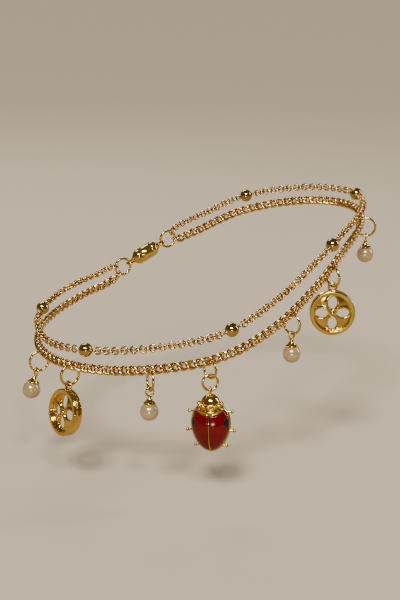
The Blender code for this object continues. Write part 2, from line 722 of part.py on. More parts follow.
def bug_body(frame, head_down):
    head_frame = frame @ Matrix.Translation((0, 0, -head_down))
    shell_frame = head_frame @ Matrix.Translation((0, 0, -BUG_HEAD_TO_BODY))
    body = put(trim_behind(bug_shell(-BUG_ENAMEL), BUG_SHELL_BACK), "bug_body", shell_frame, gold)
    additions = []

    plate = rod((0, BUG_PLATE_FRONT, 0), (0, BUG_PLATE, 0), 2, BUG_OUTLINE_STEPS)
    plate.data.transform(Matrix.Diagonal((BUG_HALF_WIDTH + BUG_RIM, 1, BUG_HALF_HEIGHT + BUG_RIM, 1)))
    additions.append((egg_shaped(plate), shell_frame))

    rib = rod((-BUG_RIB / 2, 0, 0), (BUG_RIB / 2, 0, 0), 2, BUG_OUTLINE_STEPS)
    rib.data.transform(Matrix.Diagonal((1, BUG_DEPTH, BUG_HALF_HEIGHT, 1)))
    additions.append((trim_behind(rib, BUG_RIB_BACK), shell_frame))

    head = ball((BUG_HEAD_HALF_WIDTH, BUG_HEAD_DEPTH, BUG_HEAD_HALF_HEIGHT), 12, 8)
    additions.append((trim_behind(head, BUG_HEAD_BACK), head_frame))

    # The collar, and the neck that fills it
    flattened = BUG_HEAD_DEPTH / BUG_HEAD_HALF_WIDTH
    collar = torus(BUG_COLLAR_RADIUS, BUG_COLLAR_WIDTH, 16)
    collar.data.transform(Matrix.Diagonal((1, flattened, BUG_COLLAR_HEIGHT / BUG_COLLAR_WIDTH, 1)))
    neck = rod((0, 0, -BUG_NECK_LOW), (0, 0, BUG_NECK_HIGH), 2 * BUG_COLLAR_RADIUS, sides=16)
    neck.data.transform(Matrix.Diagonal((1, flattened, 1, 1)))
    tilt = Matrix.Translation((0, 0, -BUG_COLLAR_DROP)) @ Matrix.Rotation(BUG_COLLAR_TILT, 4, "X")
    for piece, back in ((collar, BUG_COLLAR_BACK), (neck, BUG_NECK_BACK)):
        piece.data.transform(tilt)
        additions.append((trim_behind(piece, back), head_frame))

    eye = torus(BUG_EYE_RADIUS, BUG_EYE_WIRE, EYE_STEPS)
    eye.data.transform(Matrix.Rotation(math.pi / 2, 4, "Y"))
    additions.append((eye, frame))

    for height in BUG_LEG_HEIGHTS:
        reach = BUG_HALF_WIDTH * math.sqrt(1 - (height / BUG_HALF_HEIGHT) ** 2) * bug_widening(height)
        for side in (-1, 1):
            root = side * reach * BUG_LEG_ROOT
            foot = side * (reach + BUG_RIM + BUG_LEG_REACH)
            leg = rod((root, BUG_PLATE / 2, height), (foot, BUG_PLATE / 2, height), BUG_LEG_WIRE)
            bead = ball([BUG_LEG_BEAD / 2] * 3, 8, 6, centre=(foot, BUG_PLATE / 2, height))
            additions.append((leg, shell_frame))
            additions.append((bead, shell_frame))
    for i, (piece, place) in enumerate(additions):
        combine(body, put(piece, f"bug_body_add_{i + 1}", place), "UNION")


def bug_wing(frame, side, name):
    # Enamel over one half of the back, clear of the gold rib, collar and plate, with a hole for its spot
    wing = put(trim_behind(bug_shell(0, 18, 12), -PIECE_GAP), f"bug_wing_{name}", frame, red_enamel)
    hollow = put(bug_shell(PIECE_GAP - BUG_ENAMEL), f"bug_wing_{name}_hollow", frame)
    combine(wing, hollow, "DIFFERENCE")
    past = 2 * BUG_HALF_HEIGHT
    inner = BUG_RIB / 2 + PIECE_GAP
    edges = sorted((-side * past, side * inner))
    half = block((edges[0], -past, -past), (edges[1], past, past))
    combine(wing, put(half, f"bug_wing_{name}_half", frame), "DIFFERENCE")
    collar_reach = BUG_COLLAR_RADIUS + BUG_COLLAR_WIDTH / 2
    collar_sag = BUG_COLLAR_DROP + BUG_COLLAR_HEIGHT / 2 + collar_reach * math.sin(BUG_COLLAR_TILT)
    clear = [reach * BUG_NECK_EASE + PIECE_GAP for reach in (collar_reach, collar_sag)]
    neck = rod((0, -past, 0), (0, past, 0), 2, sides=20)
    neck.data.transform(Matrix.Diagonal((clear[0], 1, clear[1], 1)))
    neck.data.transform(Matrix.Translation((0, 0, BUG_HEAD_TO_BODY)))
    combine(wing, put(neck, f"bug_wing_{name}_neck", frame), "DIFFERENCE")

    spot_at = Vector((side * BUG_HALF_WIDTH * math.sin(BUG_SPOT_ANGLE), -BUG_DEPTH * math.cos(BUG_SPOT_ANGLE), 0))
    spot_at *= math.sqrt(1 - (BUG_SPOT_LIFT / BUG_HALF_HEIGHT) ** 2)
    spot_at.x *= bug_widening(BUG_SPOT_LIFT)
    spot_at.z = BUG_SPOT_LIFT
    radii = (BUG_HALF_WIDTH, BUG_DEPTH, BUG_HALF_HEIGHT)
    outward = Vector([along / radius**2 for along, radius in zip(spot_at, radii)]).normalized()
    hole = rod(spot_at - outward * BUG_DEPTH / 2, spot_at + outward * BUG_DEPTH, BUG_SPOT_WIDTH + 2 * PIECE_GAP, 14)
    combine(wing, put(hole, f"bug_wing_{name}_spot_hole", frame), "DIFFERENCE")

    half_width = BUG_SPOT_WIDTH / 2
    base = PIECE_GAP + SEAT_GAP - BUG_ENAMEL
    outline = [(0, BUG_SPOT_PROUD), (half_width * 0.7, BUG_SPOT_PROUD * 0.4), (half_width, -BUG_SPOT_PROUD),
               (half_width, base), (0, base)]
    turn = outward.to_track_quat("Z", "Y").to_matrix().to_4x4()
    spot = put(turned(outline, 12), f"bug_spot_{name}", frame @ Matrix.Translation(spot_at) @ turn, black_enamel)
    back = block((-past, -PIECE_GAP, -past), (past, past, past))
    combine(spot, put(back, f"bug_spot_{name}_back", frame), "DIFFERENCE")


def end_rings():
    place, axis, outward, side = clasp_directions()
    for way, name in ((-1, "end_ring_front"), (1, "end_ring_back")):
        centre = place + axis * way * end_ring_place()
        put(torus(END_RING_RADIUS, END_RING_WIRE, RING_STEPS), name,
            frame_matrix(centre, axis, outward.cross(axis), outward), gold)


def clasp():
    # A plain barrel between the end rings, with an eye at each end
    place, axis, outward, side = clasp_directions()
    frame = frame_matrix(place, side, outward, side.cross(outward))
    half = CLASP_LENGTH / 2
    wide, narrow = CLASP_WIDTH / 2, CLASP_END_WIDTH / 2
    collar = CLASP_EYE_WIRE / 2
    outline = [(0, half), (narrow, half), (narrow, half - collar), (wide, half - CLASP_TAPER),
               (wide, CLASP_TAPER - half), (narrow, collar - half), (narrow, -half), (0, -half)]
    barrel = put(turned(outline, CLASP_STEPS), "clasp", frame, gold)
    for i, way in enumerate((1, -1)):
        eye = torus(CLASP_EYE_RADIUS, CLASP_EYE_WIRE, EYE_STEPS)
        place_in_clasp = Matrix.Translation((0, 0, way * clasp_eye_place()))
        eye.data.transform(place_in_clasp @ Matrix.Rotation(math.pi / 2, 4, "Y"))
        combine(barrel, put(eye, f"clasp_eye_{i + 1}", frame), "UNION")


def main():
    upper, lower = Strand("upper", 1), Strand("lower", -1)
    links = curb_places(lower)
    lower_chain(lower, links)
    balls = ball_distances(upper)
    upper_chain(upper, balls)
    station_balls(upper, balls)
    end_rings()
    clasp()
    counts = {"drop": 0, "disc": 0, "bug": 0}
    for charm in CHARMS:
        kind = charm["kind"]
        counts[kind] += 1
        link_place = lower.point_at(nearest_link(lower, links, charm["turn"]))
        if kind == "drop":
            pearl_drop(counts[kind], charm, link_place)
        elif kind == "disc":
            pierced_disc(counts[kind], charm, link_place)
        else:
            ladybug(charm, link_place)


for leftover in list(bpy.data.objects):
    bpy.data.objects.remove(leftover)
anklet = collection("charm_anklet")
cutters = collection("cutters")
ankle_centre = bpy.data.objects.new("ankle_centre", None)
anklet.objects.link(ankle_centre)
gold = metal_or_enamel("gold", (0.83, 0.56, 0.2), 1.0, 0.22)
pearl = metal_or_enamel("pearl", (0.87, 0.82, 0.74), 0.0, 0.28)
red_enamel = metal_or_enamel("red_enamel", (0.33, 0.006, 0.008), 0.0, 0.18)
black_enamel = metal_or_enamel("black_enamel", (0.01, 0.008, 0.01), 0.0, 0.2)
main()
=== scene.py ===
# Charm anklet: two gold strands on one clasp, with pearl drops, pierced discs and an enamelled ladybug.
import bisect
import math

import bmesh
import bpy
from mathutils import Matrix, Vector


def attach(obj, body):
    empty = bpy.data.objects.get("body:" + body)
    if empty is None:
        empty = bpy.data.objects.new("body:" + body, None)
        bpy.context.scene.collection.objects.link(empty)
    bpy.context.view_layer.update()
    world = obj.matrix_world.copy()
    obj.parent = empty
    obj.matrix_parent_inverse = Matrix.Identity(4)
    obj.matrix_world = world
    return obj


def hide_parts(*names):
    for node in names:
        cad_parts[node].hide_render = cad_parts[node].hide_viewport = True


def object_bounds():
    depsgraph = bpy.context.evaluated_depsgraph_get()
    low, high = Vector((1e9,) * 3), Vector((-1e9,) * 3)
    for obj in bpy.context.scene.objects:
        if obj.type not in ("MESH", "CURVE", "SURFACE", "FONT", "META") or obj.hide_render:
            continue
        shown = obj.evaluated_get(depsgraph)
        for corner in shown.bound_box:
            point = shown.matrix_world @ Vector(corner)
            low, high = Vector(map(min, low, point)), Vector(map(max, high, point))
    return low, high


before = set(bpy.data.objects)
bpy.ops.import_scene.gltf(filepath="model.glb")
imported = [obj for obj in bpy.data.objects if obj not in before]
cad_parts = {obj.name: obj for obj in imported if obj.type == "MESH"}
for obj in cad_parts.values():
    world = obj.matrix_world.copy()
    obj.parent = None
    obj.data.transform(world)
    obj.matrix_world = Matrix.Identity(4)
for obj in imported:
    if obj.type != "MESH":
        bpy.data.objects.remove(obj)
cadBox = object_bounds()
mm = 0.001
up = Vector((0, 0, 1))
toSideways = Matrix.Rotation(math.pi / 2, 4, "X")  # what lies flat stands up, facing front
toAlong = Matrix.Rotation(math.pi / 2, 4, "Y")  # what stands up lies along X
print("frame loaded:", len(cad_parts), "nodes")


# Helpers for sizes, nodes and meshes

def sizes(**lengths):  # lengths given in mm
    return {name: length * mm for name, length in lengths.items()}


def addNode(tree, kind, inputs=None, **settings):  # an input is a value, a socket, or a node's first output
    node = tree.nodes.new(kind)
    for key, value in settings.items():
        setattr(node, key, value)
    for key, value in (inputs or {}).items():
        if isinstance(value, bpy.types.Node):
            value = value.outputs[0]
        if isinstance(value, bpy.types.NodeSocket):
            tree.links.new(value, node.inputs[key])
        else:
            node.inputs[key].default_value = value
    return node


def addMath(tree, operation, *values):
    return addNode(tree, "ShaderNodeMath", dict(enumerate(values)), operation=operation)


def newGroup(name, kind, inputs, outputs):  # a socket's type follows its value
    types = {int: "Int", float: "Float", tuple: "Color"}
    tree = bpy.data.node_groups.new(name, kind)
    for label, value in inputs.items():
        socketType = types.get(type(value), label)
        socket = tree.interface.new_socket(label, in_out="INPUT", socket_type="NodeSocket" + socketType)
        if value is not None:
            socket.default_value = value
    for label, socketType in outputs.items():
        tree.interface.new_socket(label, in_out="OUTPUT", socket_type="NodeSocket" + socketType)
    return tree, tree.nodes.new("NodeGroupInput").outputs, tree.nodes.new("NodeGroupOutput").inputs


def newMeshTree(name, inputs):  # it also takes geometry and a material
    inputs = {"Geometry": None, **inputs, "Material": None}
    return newGroup(name, "GeometryNodeTree", inputs, {"Geometry": "Geometry"})


def closeMeshTree(tree, inputs, outputs, geometry):
    real = addNode(tree, "GeometryNodeRealizeInstances", {"Geometry": geometry})
    finished = addNode(tree, "GeometryNodeSetMaterial", {"Geometry": real, "Material": inputs["Material"]})
    tree.links.new(finished.outputs[0], outputs["Geometry"])
    return tree


def newMaterial(name):
    material = bpy.data.materials.new(name)
    material.use_nodes = True
    return material, material.node_tree, material.node_tree.nodes["Principled BSDF"].inputs


def objectOf(name, data):
    obj = bpy.data.objects.new(name, data)
    bpy.context.scene.collection.objects.link(obj)
    return obj


def meshOf(bm):
    mesh = bpy.data.meshes.new("part")
    bm.to_mesh(mesh)
    bm.free()
    return mesh


def runTree(mesh, tree, values):  # the tree's result on a mesh, as a plain mesh
    obj = objectOf("grown", mesh)
    modifier = obj.modifiers.new(tree.name, "NODES")
    modifier.node_group = tree
    for item in tree.interface.items_tree:
        if item.in_out == "INPUT" and item.name in values:
            modifier[item.identifier] = values[item.name]
    depsgraph = bpy.context.evaluated_depsgraph_get()
    made = bpy.data.meshes.new_from_object(obj.evaluated_get(depsgraph))
    bpy.data.objects.remove(obj)
    return made


def frameMatrix(place, xAxis, yAxis, zAxis):
    return Matrix.Translation(place) @ Matrix((xAxis, yAxis, zAxis)).transposed().to_4x4()


def raised(height):
    return Matrix.Translation((0, 0, height))


def joined(parts):  # one mesh of several (mesh, matrix) parts
    bm = bmesh.new()
    for mesh, place in parts:
        copy = mesh.copy()
        copy.transform(place)
        bm.from_mesh(copy)
        bpy.data.meshes.remove(copy)
    return meshOf(bm)


def finishPiece(name, mesh, node, material, sharpAngle=50):
    mesh.name = name
    mesh.shade_smooth()
    mesh.set_sharp_from_angle(angle=math.radians(sharpAngle))
    mesh.materials.clear()
    mesh.materials.append(material)
    piece = objectOf(name, mesh)
    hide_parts(node)
    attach(piece, "root")


def turned(outline, steps, closed=False):  # a profile of (radius, height) points turned round Z, top first
    bm = bmesh.new()
    rings = []
    for radius, height in outline:
        count = steps if radius > 1e-7 else 1
        angles = [2 * math.pi * i / count for i in range(count)]
        rings.append([bm.verts.new((radius * math.cos(a), radius * math.sin(a), height)) for a in angles])
    pairs = list(zip(rings, rings[1:] + rings[:1])) if closed else list(zip(rings, rings[1:]))
    for upper, lower in pairs:
        for i in range(steps):
            corners = [upper[i % len(upper)], lower[i % len(lower)],
                       lower[(i + 1) % len(lower)], upper[(i + 1) % len(upper)]]
            bm.faces.new(list(dict.fromkeys(corners)))
    return meshOf(bm)


def arc(radius, start, end, steps, centre=(0, 0)):  # points from one angle off the axis to another
    angles = [start + (end - start) * i / steps for i in range(steps + 1)]
    return [(centre[0] + radius * math.sin(a), centre[1] + radius * math.cos(a)) for a in angles]


def mirrored(outline):  # a profile's upper half, followed by its mirror image
    return outline + [(radius, -height) for radius, height in outline[::-1]]


def tube(points, radii, sides, closed=False, reference=None):  # round wire along a line of points
    bm = bmesh.new()
    points = [Vector(p) for p in points]
    count = len(points)
    side = reference or Vector((0.3, 0.5, 0.8))
    rings = []
    for i, point in enumerate(points):
        before = points[(i - 1) % count] if closed or i else point
        after = points[(i + 1) % count] if closed or i < count - 1 else point
        along = (after - before).normalized()
        side = (side - along * side.dot(along)).normalized()
        across = along.cross(side)
        radius = radii[i] if isinstance(radii, (list, tuple)) else radii
        rings.append([bm.verts.new(point + (side * math.cos(a) + across * math.sin(a)) * radius)
                      for a in [2 * math.pi * k / sides for k in range(sides)]])
        if reference:
            side = reference
    for first, second in zip(rings, rings[1:] + (rings[:1] if closed else [])):
        for k in range(sides):
            bm.faces.new((first[k], first[(k + 1) % sides], second[(k + 1) % sides], second[k]))
    if not closed:
        bm.faces.new(rings[0][::-1])
        bm.faces.new(rings[-1])
    return meshOf(bm)


def ring(radius, wire, steps=44, sides=14):  # a torus lying in X and Y
    section = arc(wire / 2, 0, -2 * math.pi * (1 - 1 / sides), sides - 1, (radius, 0))
    return turned(section[::-1], steps, closed=True)


def eyeOf(piece):
    return ring(piece["eyeRadius"], piece["eyeWire"], 36, 12)


def egg(radii, steps=32, rings=20):
    bm = bmesh.new()
    bmesh.ops.create_uvsphere(bm, u_segments=steps, v_segments=rings, radius=1)
    bmesh.ops.scale(bm, vec=radii, verts=bm.verts)
    return meshOf(bm)


# Effects that the finishes share

def toneGroup():  # two tones of one colour in soft clouds
    tree, inputs, outputs = newGroup("cloudTone", "ShaderNodeTree", {
        "Light": (0.9, 0.6, 0.25, 1), "Deep": (0.7, 0.4, 0.1, 1), "Scale": 300.0}, {"Color": "Color"})
    place = addNode(tree, "ShaderNodeTexCoord").outputs["Object"]
    clouds = addNode(tree, "ShaderNodeTexNoise", {"Vector": place, "Scale": inputs["Scale"], "Detail": 4,
                                                  "Roughness": 0.55})
    spread = addNode(tree, "ShaderNodeMapRange", {"Value": clouds, "From Min": 0.35, "From Max": 0.65})
    mix = addNode(tree, "ShaderNodeMix", {"Factor": spread, 6: inputs["Light"], 7: inputs["Deep"]},
                  data_type="RGBA")
    tree.links.new(mix.outputs[2], outputs["Color"])
    return tree


def wearGroup():  # faint handling marks: a roughness that wanders, and a height for Bump
    tree, inputs, outputs = newGroup("handlingMarks", "ShaderNodeTree", {
        "Smooth": 0.1, "Worn": 0.25, "Scale": 900.0}, {"Roughness": "Float", "Height": "Float"})
    place = addNode(tree, "ShaderNodeTexCoord").outputs["Object"]
    haze = addNode(tree, "ShaderNodeTexNoise", {"Vector": place, "Scale": inputs["Scale"], "Detail": 6,
                                                "Roughness": 0.65})
    stretch = addNode(tree, "ShaderNodeMapping", {"Vector": place, "Scale": (1, 0.12, 0.35),
                                                  "Rotation": (0.4, 0.7, 0.9)})
    fine = addMath(tree, "MULTIPLY", inputs["Scale"], 7)
    lines = addNode(tree, "ShaderNodeTexNoise", {"Vector": stretch, "Scale": fine, "Detail": 2})
    both = addMath(tree, "MULTIPLY", haze, lines)
    rough = addNode(tree, "ShaderNodeMapRange", {"Value": both, "From Min": 0.15, "From Max": 0.4,
                                                 "To Min": inputs["Smooth"], "To Max": inputs["Worn"]})
    tree.links.new(rough.outputs[0], outputs["Roughness"])
    tree.links.new(both.outputs[0], outputs["Height"])
    return tree


cloudTone = toneGroup()
handlingMarks = wearGroup()


def finishOf(name, light, deep, smooth, worn, toneScale=300, markScale=900, bump=0.02, **shaderValues):
    material, tree, shader = newMaterial(name)
    for label, value in shaderValues.items():
        shader[label.replace("_", " ")].default_value = value
    tone = addNode(tree, "ShaderNodeGroup", {"Light": (*light, 1), "Deep": (*deep, 1), "Scale": toneScale},
                   node_tree=cloudTone)
    marks = addNode(tree, "ShaderNodeGroup", {"Smooth": smooth, "Worn": worn, "Scale": markScale},
                    node_tree=handlingMarks)
    relief = addNode(tree, "ShaderNodeBump", {"Strength": 0.35, "Distance": bump * mm,
                                              "Height": marks.outputs["Height"]})
    for node, label in ((tone, "Base Color"), (marks, "Roughness"), (relief, "Normal")):
        tree.links.new(node.outputs[0], shader[label])
    return material


chainGold = finishOf("chainGold", (0.88, 0.6, 0.22), (0.58, 0.35, 0.1), 0.1, 0.24, Metallic=1)
charmGold = finishOf("charmGold", (0.84, 0.6, 0.15), (0.66, 0.42, 0.07), 0.06, 0.17, Metallic=1)
# The balls' gold is a darker copy of the same gold: painted shade standing in for the dark room they reflect
shadedBallGold = finishOf("shadedBallGold", (0.6, 0.42, 0.13), (0.48, 0.31, 0.07), 0.05, 0.14, Metallic=1)
pearlLustre = finishOf("pearlLustre", (0.52, 0.38, 0.21), (0.45, 0.32, 0.16), 0.17, 0.27, toneScale=110,
                       markScale=400, bump=0.006, Coat_Weight=1, Coat_Roughness=0.06, Metallic=0.4,
                       Subsurface_Weight=0.1, Subsurface_Scale=0.4 * mm, Sheen_Weight=0.1, Sheen_Roughness=0.4)
crimsonEnamel = finishOf("crimsonEnamel", (0.13, 0.0003, 0.002), (0.08, 0.0002, 0.0015), 0.12, 0.25,
                         toneScale=240, markScale=420, bump=0.006, Coat_Weight=0.35, Coat_Roughness=0.04,
                         Specular_IOR_Level=0.15)
blackEnamel = finishOf("blackEnamel", (0.01, 0.007, 0.008), (0.005, 0.004, 0.005), 0.1, 0.2, bump=0.006,
                       Coat_Weight=0.25, Coat_Roughness=0.04, Specular_IOR_Level=0.25)
print("finishes made")


# The routes of both strands round the loop

loopShape = sizes(halfLength=43.5, halfWidth=31.5) | {"backNarrowing": 0.12, "frontFlare": math.radians(13)}
strandRoute = [dict(zip(("turn", "upper", "lower"), row)) for row in (  # degrees, then both heights in mm
    (-80, -0.9, -4.1), (-72, -2.8, -6.4), (-50, -5.4, -9.8), (-25, -7.6, -11.9), (0, -8.9, -12.6),
    (25, -7.5, -11.9), (50, -5.0, -10.2), (72, -2.0, -7.6), (90, 4.4, -2.2), (108, 12.0, 5.6),
    (126, 17.3, 12.6), (152, 20.2, 16.4), (180, 21.0, 17.4), (208, 19.9, 16.2), (234, 16.2, 12.2),
    (252, 9.8, 6.0), (260, 6.5, 3.3))]
joinery = sizes(clearance=0.12, ringRadius=2.2, ringWire=0.66, linkRadius=1.05, linkWire=0.5, easing=14) | {
    "spread": math.radians(30), "steps": 1360}
barrel = sizes(height=1.1, length=8.5, width=4.0, endWidth=1.6, taper=2.0, edge=0.1, eyeRadius=0.95,
               eyeWire=0.6, grooveHalf=0.12, grooveDepth=0.1) | {
    "slope": math.radians(27), "groovePlace": 0.72}


def loopPoint(turn):
    angle = math.radians(turn)
    across = math.sin(angle) * (1 + loopShape["backNarrowing"] * math.cos(angle))
    return Vector((-loopShape["halfLength"] * math.cos(angle), -loopShape["halfWidth"] * across, 0))


def loopOutward(turn):
    along = loopPoint(turn + 0.5) - loopPoint(turn - 0.5)
    return Vector((along.y, -along.x, 0)).normalized()


def routeHeight(name, turn):  # a smooth curve through the rows of the route
    rows = strandRoute
    spot = max(i for i in range(len(rows) - 1) if rows[i]["turn"] <= turn or i == 0)

    def slope(index):
        before, after = rows[max(index - 1, 0)], rows[min(index + 1, len(rows) - 1)]
        return (after[name] - before[name]) / (after["turn"] - before["turn"])

    start, end = rows[spot], rows[spot + 1]
    span = end["turn"] - start["turn"]
    t = (turn - start["turn"]) / span
    height = (2 * t**3 - 3 * t**2 + 1) * start[name] + (3 * t**2 - 2 * t**3) * end[name]
    height += ((t**3 - 2 * t**2 + t) * slope(spot) + (t**3 - t**2) * slope(spot + 1)) * span
    return height * mm


def claspDirections():  # its middle, along it towards the back, out of the loop, and up between them
    outward = loopOutward(-90)
    axis = outward.cross(up) * math.cos(barrel["slope"]) + up * math.sin(barrel["slope"])
    return loopPoint(-90) + up * barrel["height"], axis, outward, axis.cross(outward)


claspEyePlace = barrel["length"] / 2 + barrel["eyeRadius"] - barrel["eyeWire"] / 4
ringOverlap = (joinery["ringWire"] + barrel["eyeWire"]) / 2 + joinery["clearance"]
endRingPlace = claspEyePlace + barrel["eyeRadius"] - ringOverlap + joinery["ringRadius"]


def endLinkFrame(way, rise):  # way -1 at the front end, 1 at the back one; rise 1 on the upper strand
    place, axis, outward, side = claspDirections()
    away = axis * way * math.cos(joinery["spread"]) + side * rise * math.sin(joinery["spread"])
    overlap = (joinery["ringWire"] + joinery["linkWire"]) / 2 + joinery["clearance"]
    reach = joinery["ringRadius"] + joinery["linkRadius"] - overlap
    centre = place + axis * way * endRingPlace + away * reach
    return frameMatrix(centre, away, outward, away.cross(outward))


def eased(share):
    share = min(max(share, 0), 1)
    return (1 - share) ** 2 * (1 + 2 * share)


def measured(points):
    lengths = [0.0]
    for before, after in zip(points, points[1:]):
        lengths.append(lengths[-1] + (after - before).length)
    return lengths


def strandOf(name, rise):
    first, last = strandRoute[0]["turn"], strandRoute[-1]["turn"]
    turns = [first + (last - first) * i / joinery["steps"] for i in range(joinery["steps"] + 1)]
    points = [loopPoint(turn) + up * routeHeight(name, turn) for turn in turns]
    lengths = measured(points)
    endLinks = [endLinkFrame(way, rise) for way in (-1, 1)]
    tips = [link @ Vector((joinery["linkRadius"], 0, 0)) for link in endLinks]
    shifts = [tips[0] - points[0], tips[1] - points[-1]]
    points = [point + shifts[0] * eased(distance / joinery["easing"])
              + shifts[1] * eased((lengths[-1] - distance) / joinery["easing"])
              for point, distance in zip(points, lengths)]
    lengths = measured(points)
    return {"turns": turns, "points": points, "lengths": lengths, "length": lengths[-1], "endLinks": endLinks}


def spotOf(strand, distance):
    lengths = strand["lengths"]
    spot = min(max(bisect.bisect_right(lengths, distance) - 1, 0), joinery["steps"] - 1)
    return spot, (distance - lengths[spot]) / (lengths[spot + 1] - lengths[spot])


def pointAt(strand, distance):
    spot, share = spotOf(strand, distance)
    return strand["points"][spot].lerp(strand["points"][spot + 1], share)


def distanceAt(strand, turn):
    first, last = strand["turns"][0], strand["turns"][-1]
    share = (turn - first) / (last - first) * joinery["steps"]
    spot = min(int(share), joinery["steps"] - 1)
    return strand["lengths"][spot] + (share - spot) * (strand["lengths"][spot + 1] - strand["lengths"][spot])


def directionsAt(strand, distance):  # along the strand, and out of the loop square to it
    step = 0.6 * mm
    start, end = max(distance - step, 0), min(distance + step, strand["length"])
    along = (pointAt(strand, end) - pointAt(strand, start)).normalized()
    spot, share = spotOf(strand, distance)
    turn = strand["turns"][spot] + share * (strand["turns"][spot + 1] - strand["turns"][spot])
    flare = loopShape["frontFlare"] * (1 + math.cos(math.radians(turn))) / 2
    outward = loopOutward(turn) * math.cos(flare) + up * math.sin(flare)
    return along, (outward - along * outward.dot(along)).normalized()


def frameAt(strand, distance):
    along, outward = directionsAt(strand, distance)
    return frameMatrix(pointAt(strand, distance), along, outward, along.cross(outward))


upperStrand, lowerStrand = strandOf("upper", 1), strandOf("lower", -1)


# Links of both chains

curb = sizes(pitch=1.95, wire=0.52, width=2.3, wireShown=0.84, spread=0.08) | {
    "twist": math.radians(58), "overlap": 0.9, "steps": 16, "sides": 6}
rolo = sizes(radius=0.79, wire=0.46, slack=0.02) | {"steps": 14, "sides": 6}
stationBall = sizes(diameter=3.3, bore=0.94, pin=0.7, pinPast=0.12, eyeRadius=0.6, eyeWire=0.4, freeEnds=52) | {
    "count": 6, "firstTurn": 22.5}


def linkTree():  # one link at each point, turned by the point's along, outward and roll
    tree, inputs, outputs = newMeshTree("chainLinks", {
        "Half Length": 1.2 * mm, "Half Width": 0.9 * mm, "Twist": 0.8, "Wire Radius": 0.26 * mm,
        "Loop Steps": 16, "Wire Sides": 6})
    loop = addNode(tree, "GeometryNodeCurvePrimitiveCircle", {"Resolution": inputs["Loop Steps"],
                                                              "Radius": 1.0})
    place = addNode(tree, "GeometryNodeInputPosition")
    unit = addNode(tree, "ShaderNodeSeparateXYZ", {"Vector": place}).outputs
    angle = addMath(tree, "MULTIPLY", unit["X"], inputs["Twist"])
    across = addMath(tree, "MULTIPLY", unit["Y"], inputs["Half Width"])
    shape = addNode(tree, "ShaderNodeCombineXYZ", {
        "X": addMath(tree, "MULTIPLY", unit["X"], inputs["Half Length"]),
        "Y": addMath(tree, "MULTIPLY", across, addMath(tree, "SINE", angle)),
        "Z": addMath(tree, "MULTIPLY", across, addMath(tree, "COSINE", angle))})
    bent = addNode(tree, "GeometryNodeSetPosition", {"Geometry": loop, "Position": shape})
    wire = addNode(tree, "GeometryNodeCurvePrimitiveCircle", {"Resolution": inputs["Wire Sides"],
                                                              "Radius": inputs["Wire Radius"]})
    link = addNode(tree, "GeometryNodeCurveToMesh", {"Curve": bent, "Profile Curve": wire})
    smooth = addNode(tree, "GeometryNodeSetShadeSmooth", {"Geometry": link})

    def stored(label, kind="FLOAT_VECTOR"):
        attribute = addNode(tree, "GeometryNodeInputNamedAttribute", {"Name": label}, data_type=kind)
        return attribute.outputs["Attribute"]

    along = addNode(tree, "FunctionNodeAlignRotationToVector", {"Vector": stored("along")}, axis="X")
    facing = addNode(tree, "FunctionNodeAlignRotationToVector",
                     {"Rotation": along, "Vector": stored("outward")}, axis="Y", pivot_axis="X")
    roll = addNode(tree, "FunctionNodeAxisAngleToRotation", {"Axis": (1, 0, 0),
                                                             "Angle": stored("roll", "FLOAT")})
    rolled = addNode(tree, "FunctionNodeRotateRotation", {"Rotation": facing, "Rotate By": roll},
                     rotation_space="LOCAL")
    row = addNode(tree, "GeometryNodeInstanceOnPoints", {"Points": inputs["Geometry"], "Instance": smooth,
                                                         "Rotation": rolled})
    return closeMeshTree(tree, inputs, outputs, row)


chainLinks = linkTree()


def placesMesh(rows):  # points that carry (place, along, outward, roll) for the link tree
    mesh = bpy.data.meshes.new("places")
    mesh.from_pydata([row[0] for row in rows], [], [])
    for index, label in ((1, "along"), (2, "outward")):
        attribute = mesh.attributes.new(label, "FLOAT_VECTOR", "POINT")
        attribute.data.foreach_set("vector", [x for row in rows for x in row[index]])
    mesh.attributes.new("roll", "FLOAT", "POINT").data.foreach_set("value", [row[3] for row in rows])
    return mesh


def rowOfLinks(rows, halfLength, halfWidth, twist, wire, steps, sides):
    return runTree(placesMesh(rows), chainLinks, {
        "Half Length": halfLength, "Half Width": halfWidth, "Twist": twist, "Wire Radius": wire / 2,
        "Loop Steps": steps, "Wire Sides": sides, "Material": chainGold})


def endLinkMeshes(strand):
    return [(ring(joinery["linkRadius"], joinery["linkWire"], 24, 8), link) for link in strand["endLinks"]]


def curbPlaces():
    first = (curb["pitch"] + curb["wire"]) / 2 - curb["wire"]
    free = lowerStrand["length"] - 2 * first
    count = round(free / curb["pitch"]) + 1
    return [first + free * i / (count - 1) for i in range(count)]


def lowerChain(places):
    rows = [(pointAt(lowerStrand, d), *directionsAt(lowerStrand, d), 0) for d in places]
    wire = curb["wireShown"]
    halfLength = (curb["pitch"] + wire * curb["overlap"]) / 2
    halfWidth = (curb["width"] - wire) / 2 + curb["spread"]
    links = rowOfLinks(rows, halfLength, halfWidth, -curb["twist"], wire, curb["steps"], curb["sides"])
    mesh = joined([(links, Matrix())] + endLinkMeshes(lowerStrand))
    finishPiece("curb_chain", mesh, "lower_chain", chainGold, 80)
    print("curb links:", len(places))


def ballPlaces():
    spacing = (upperStrand["length"] - stationBall["freeEnds"]) / (stationBall["count"] - 1)
    first = distanceAt(upperStrand, stationBall["firstTurn"])
    before = int(first // spacing)
    return [first + (i - before) * spacing for i in range(stationBall["count"])]


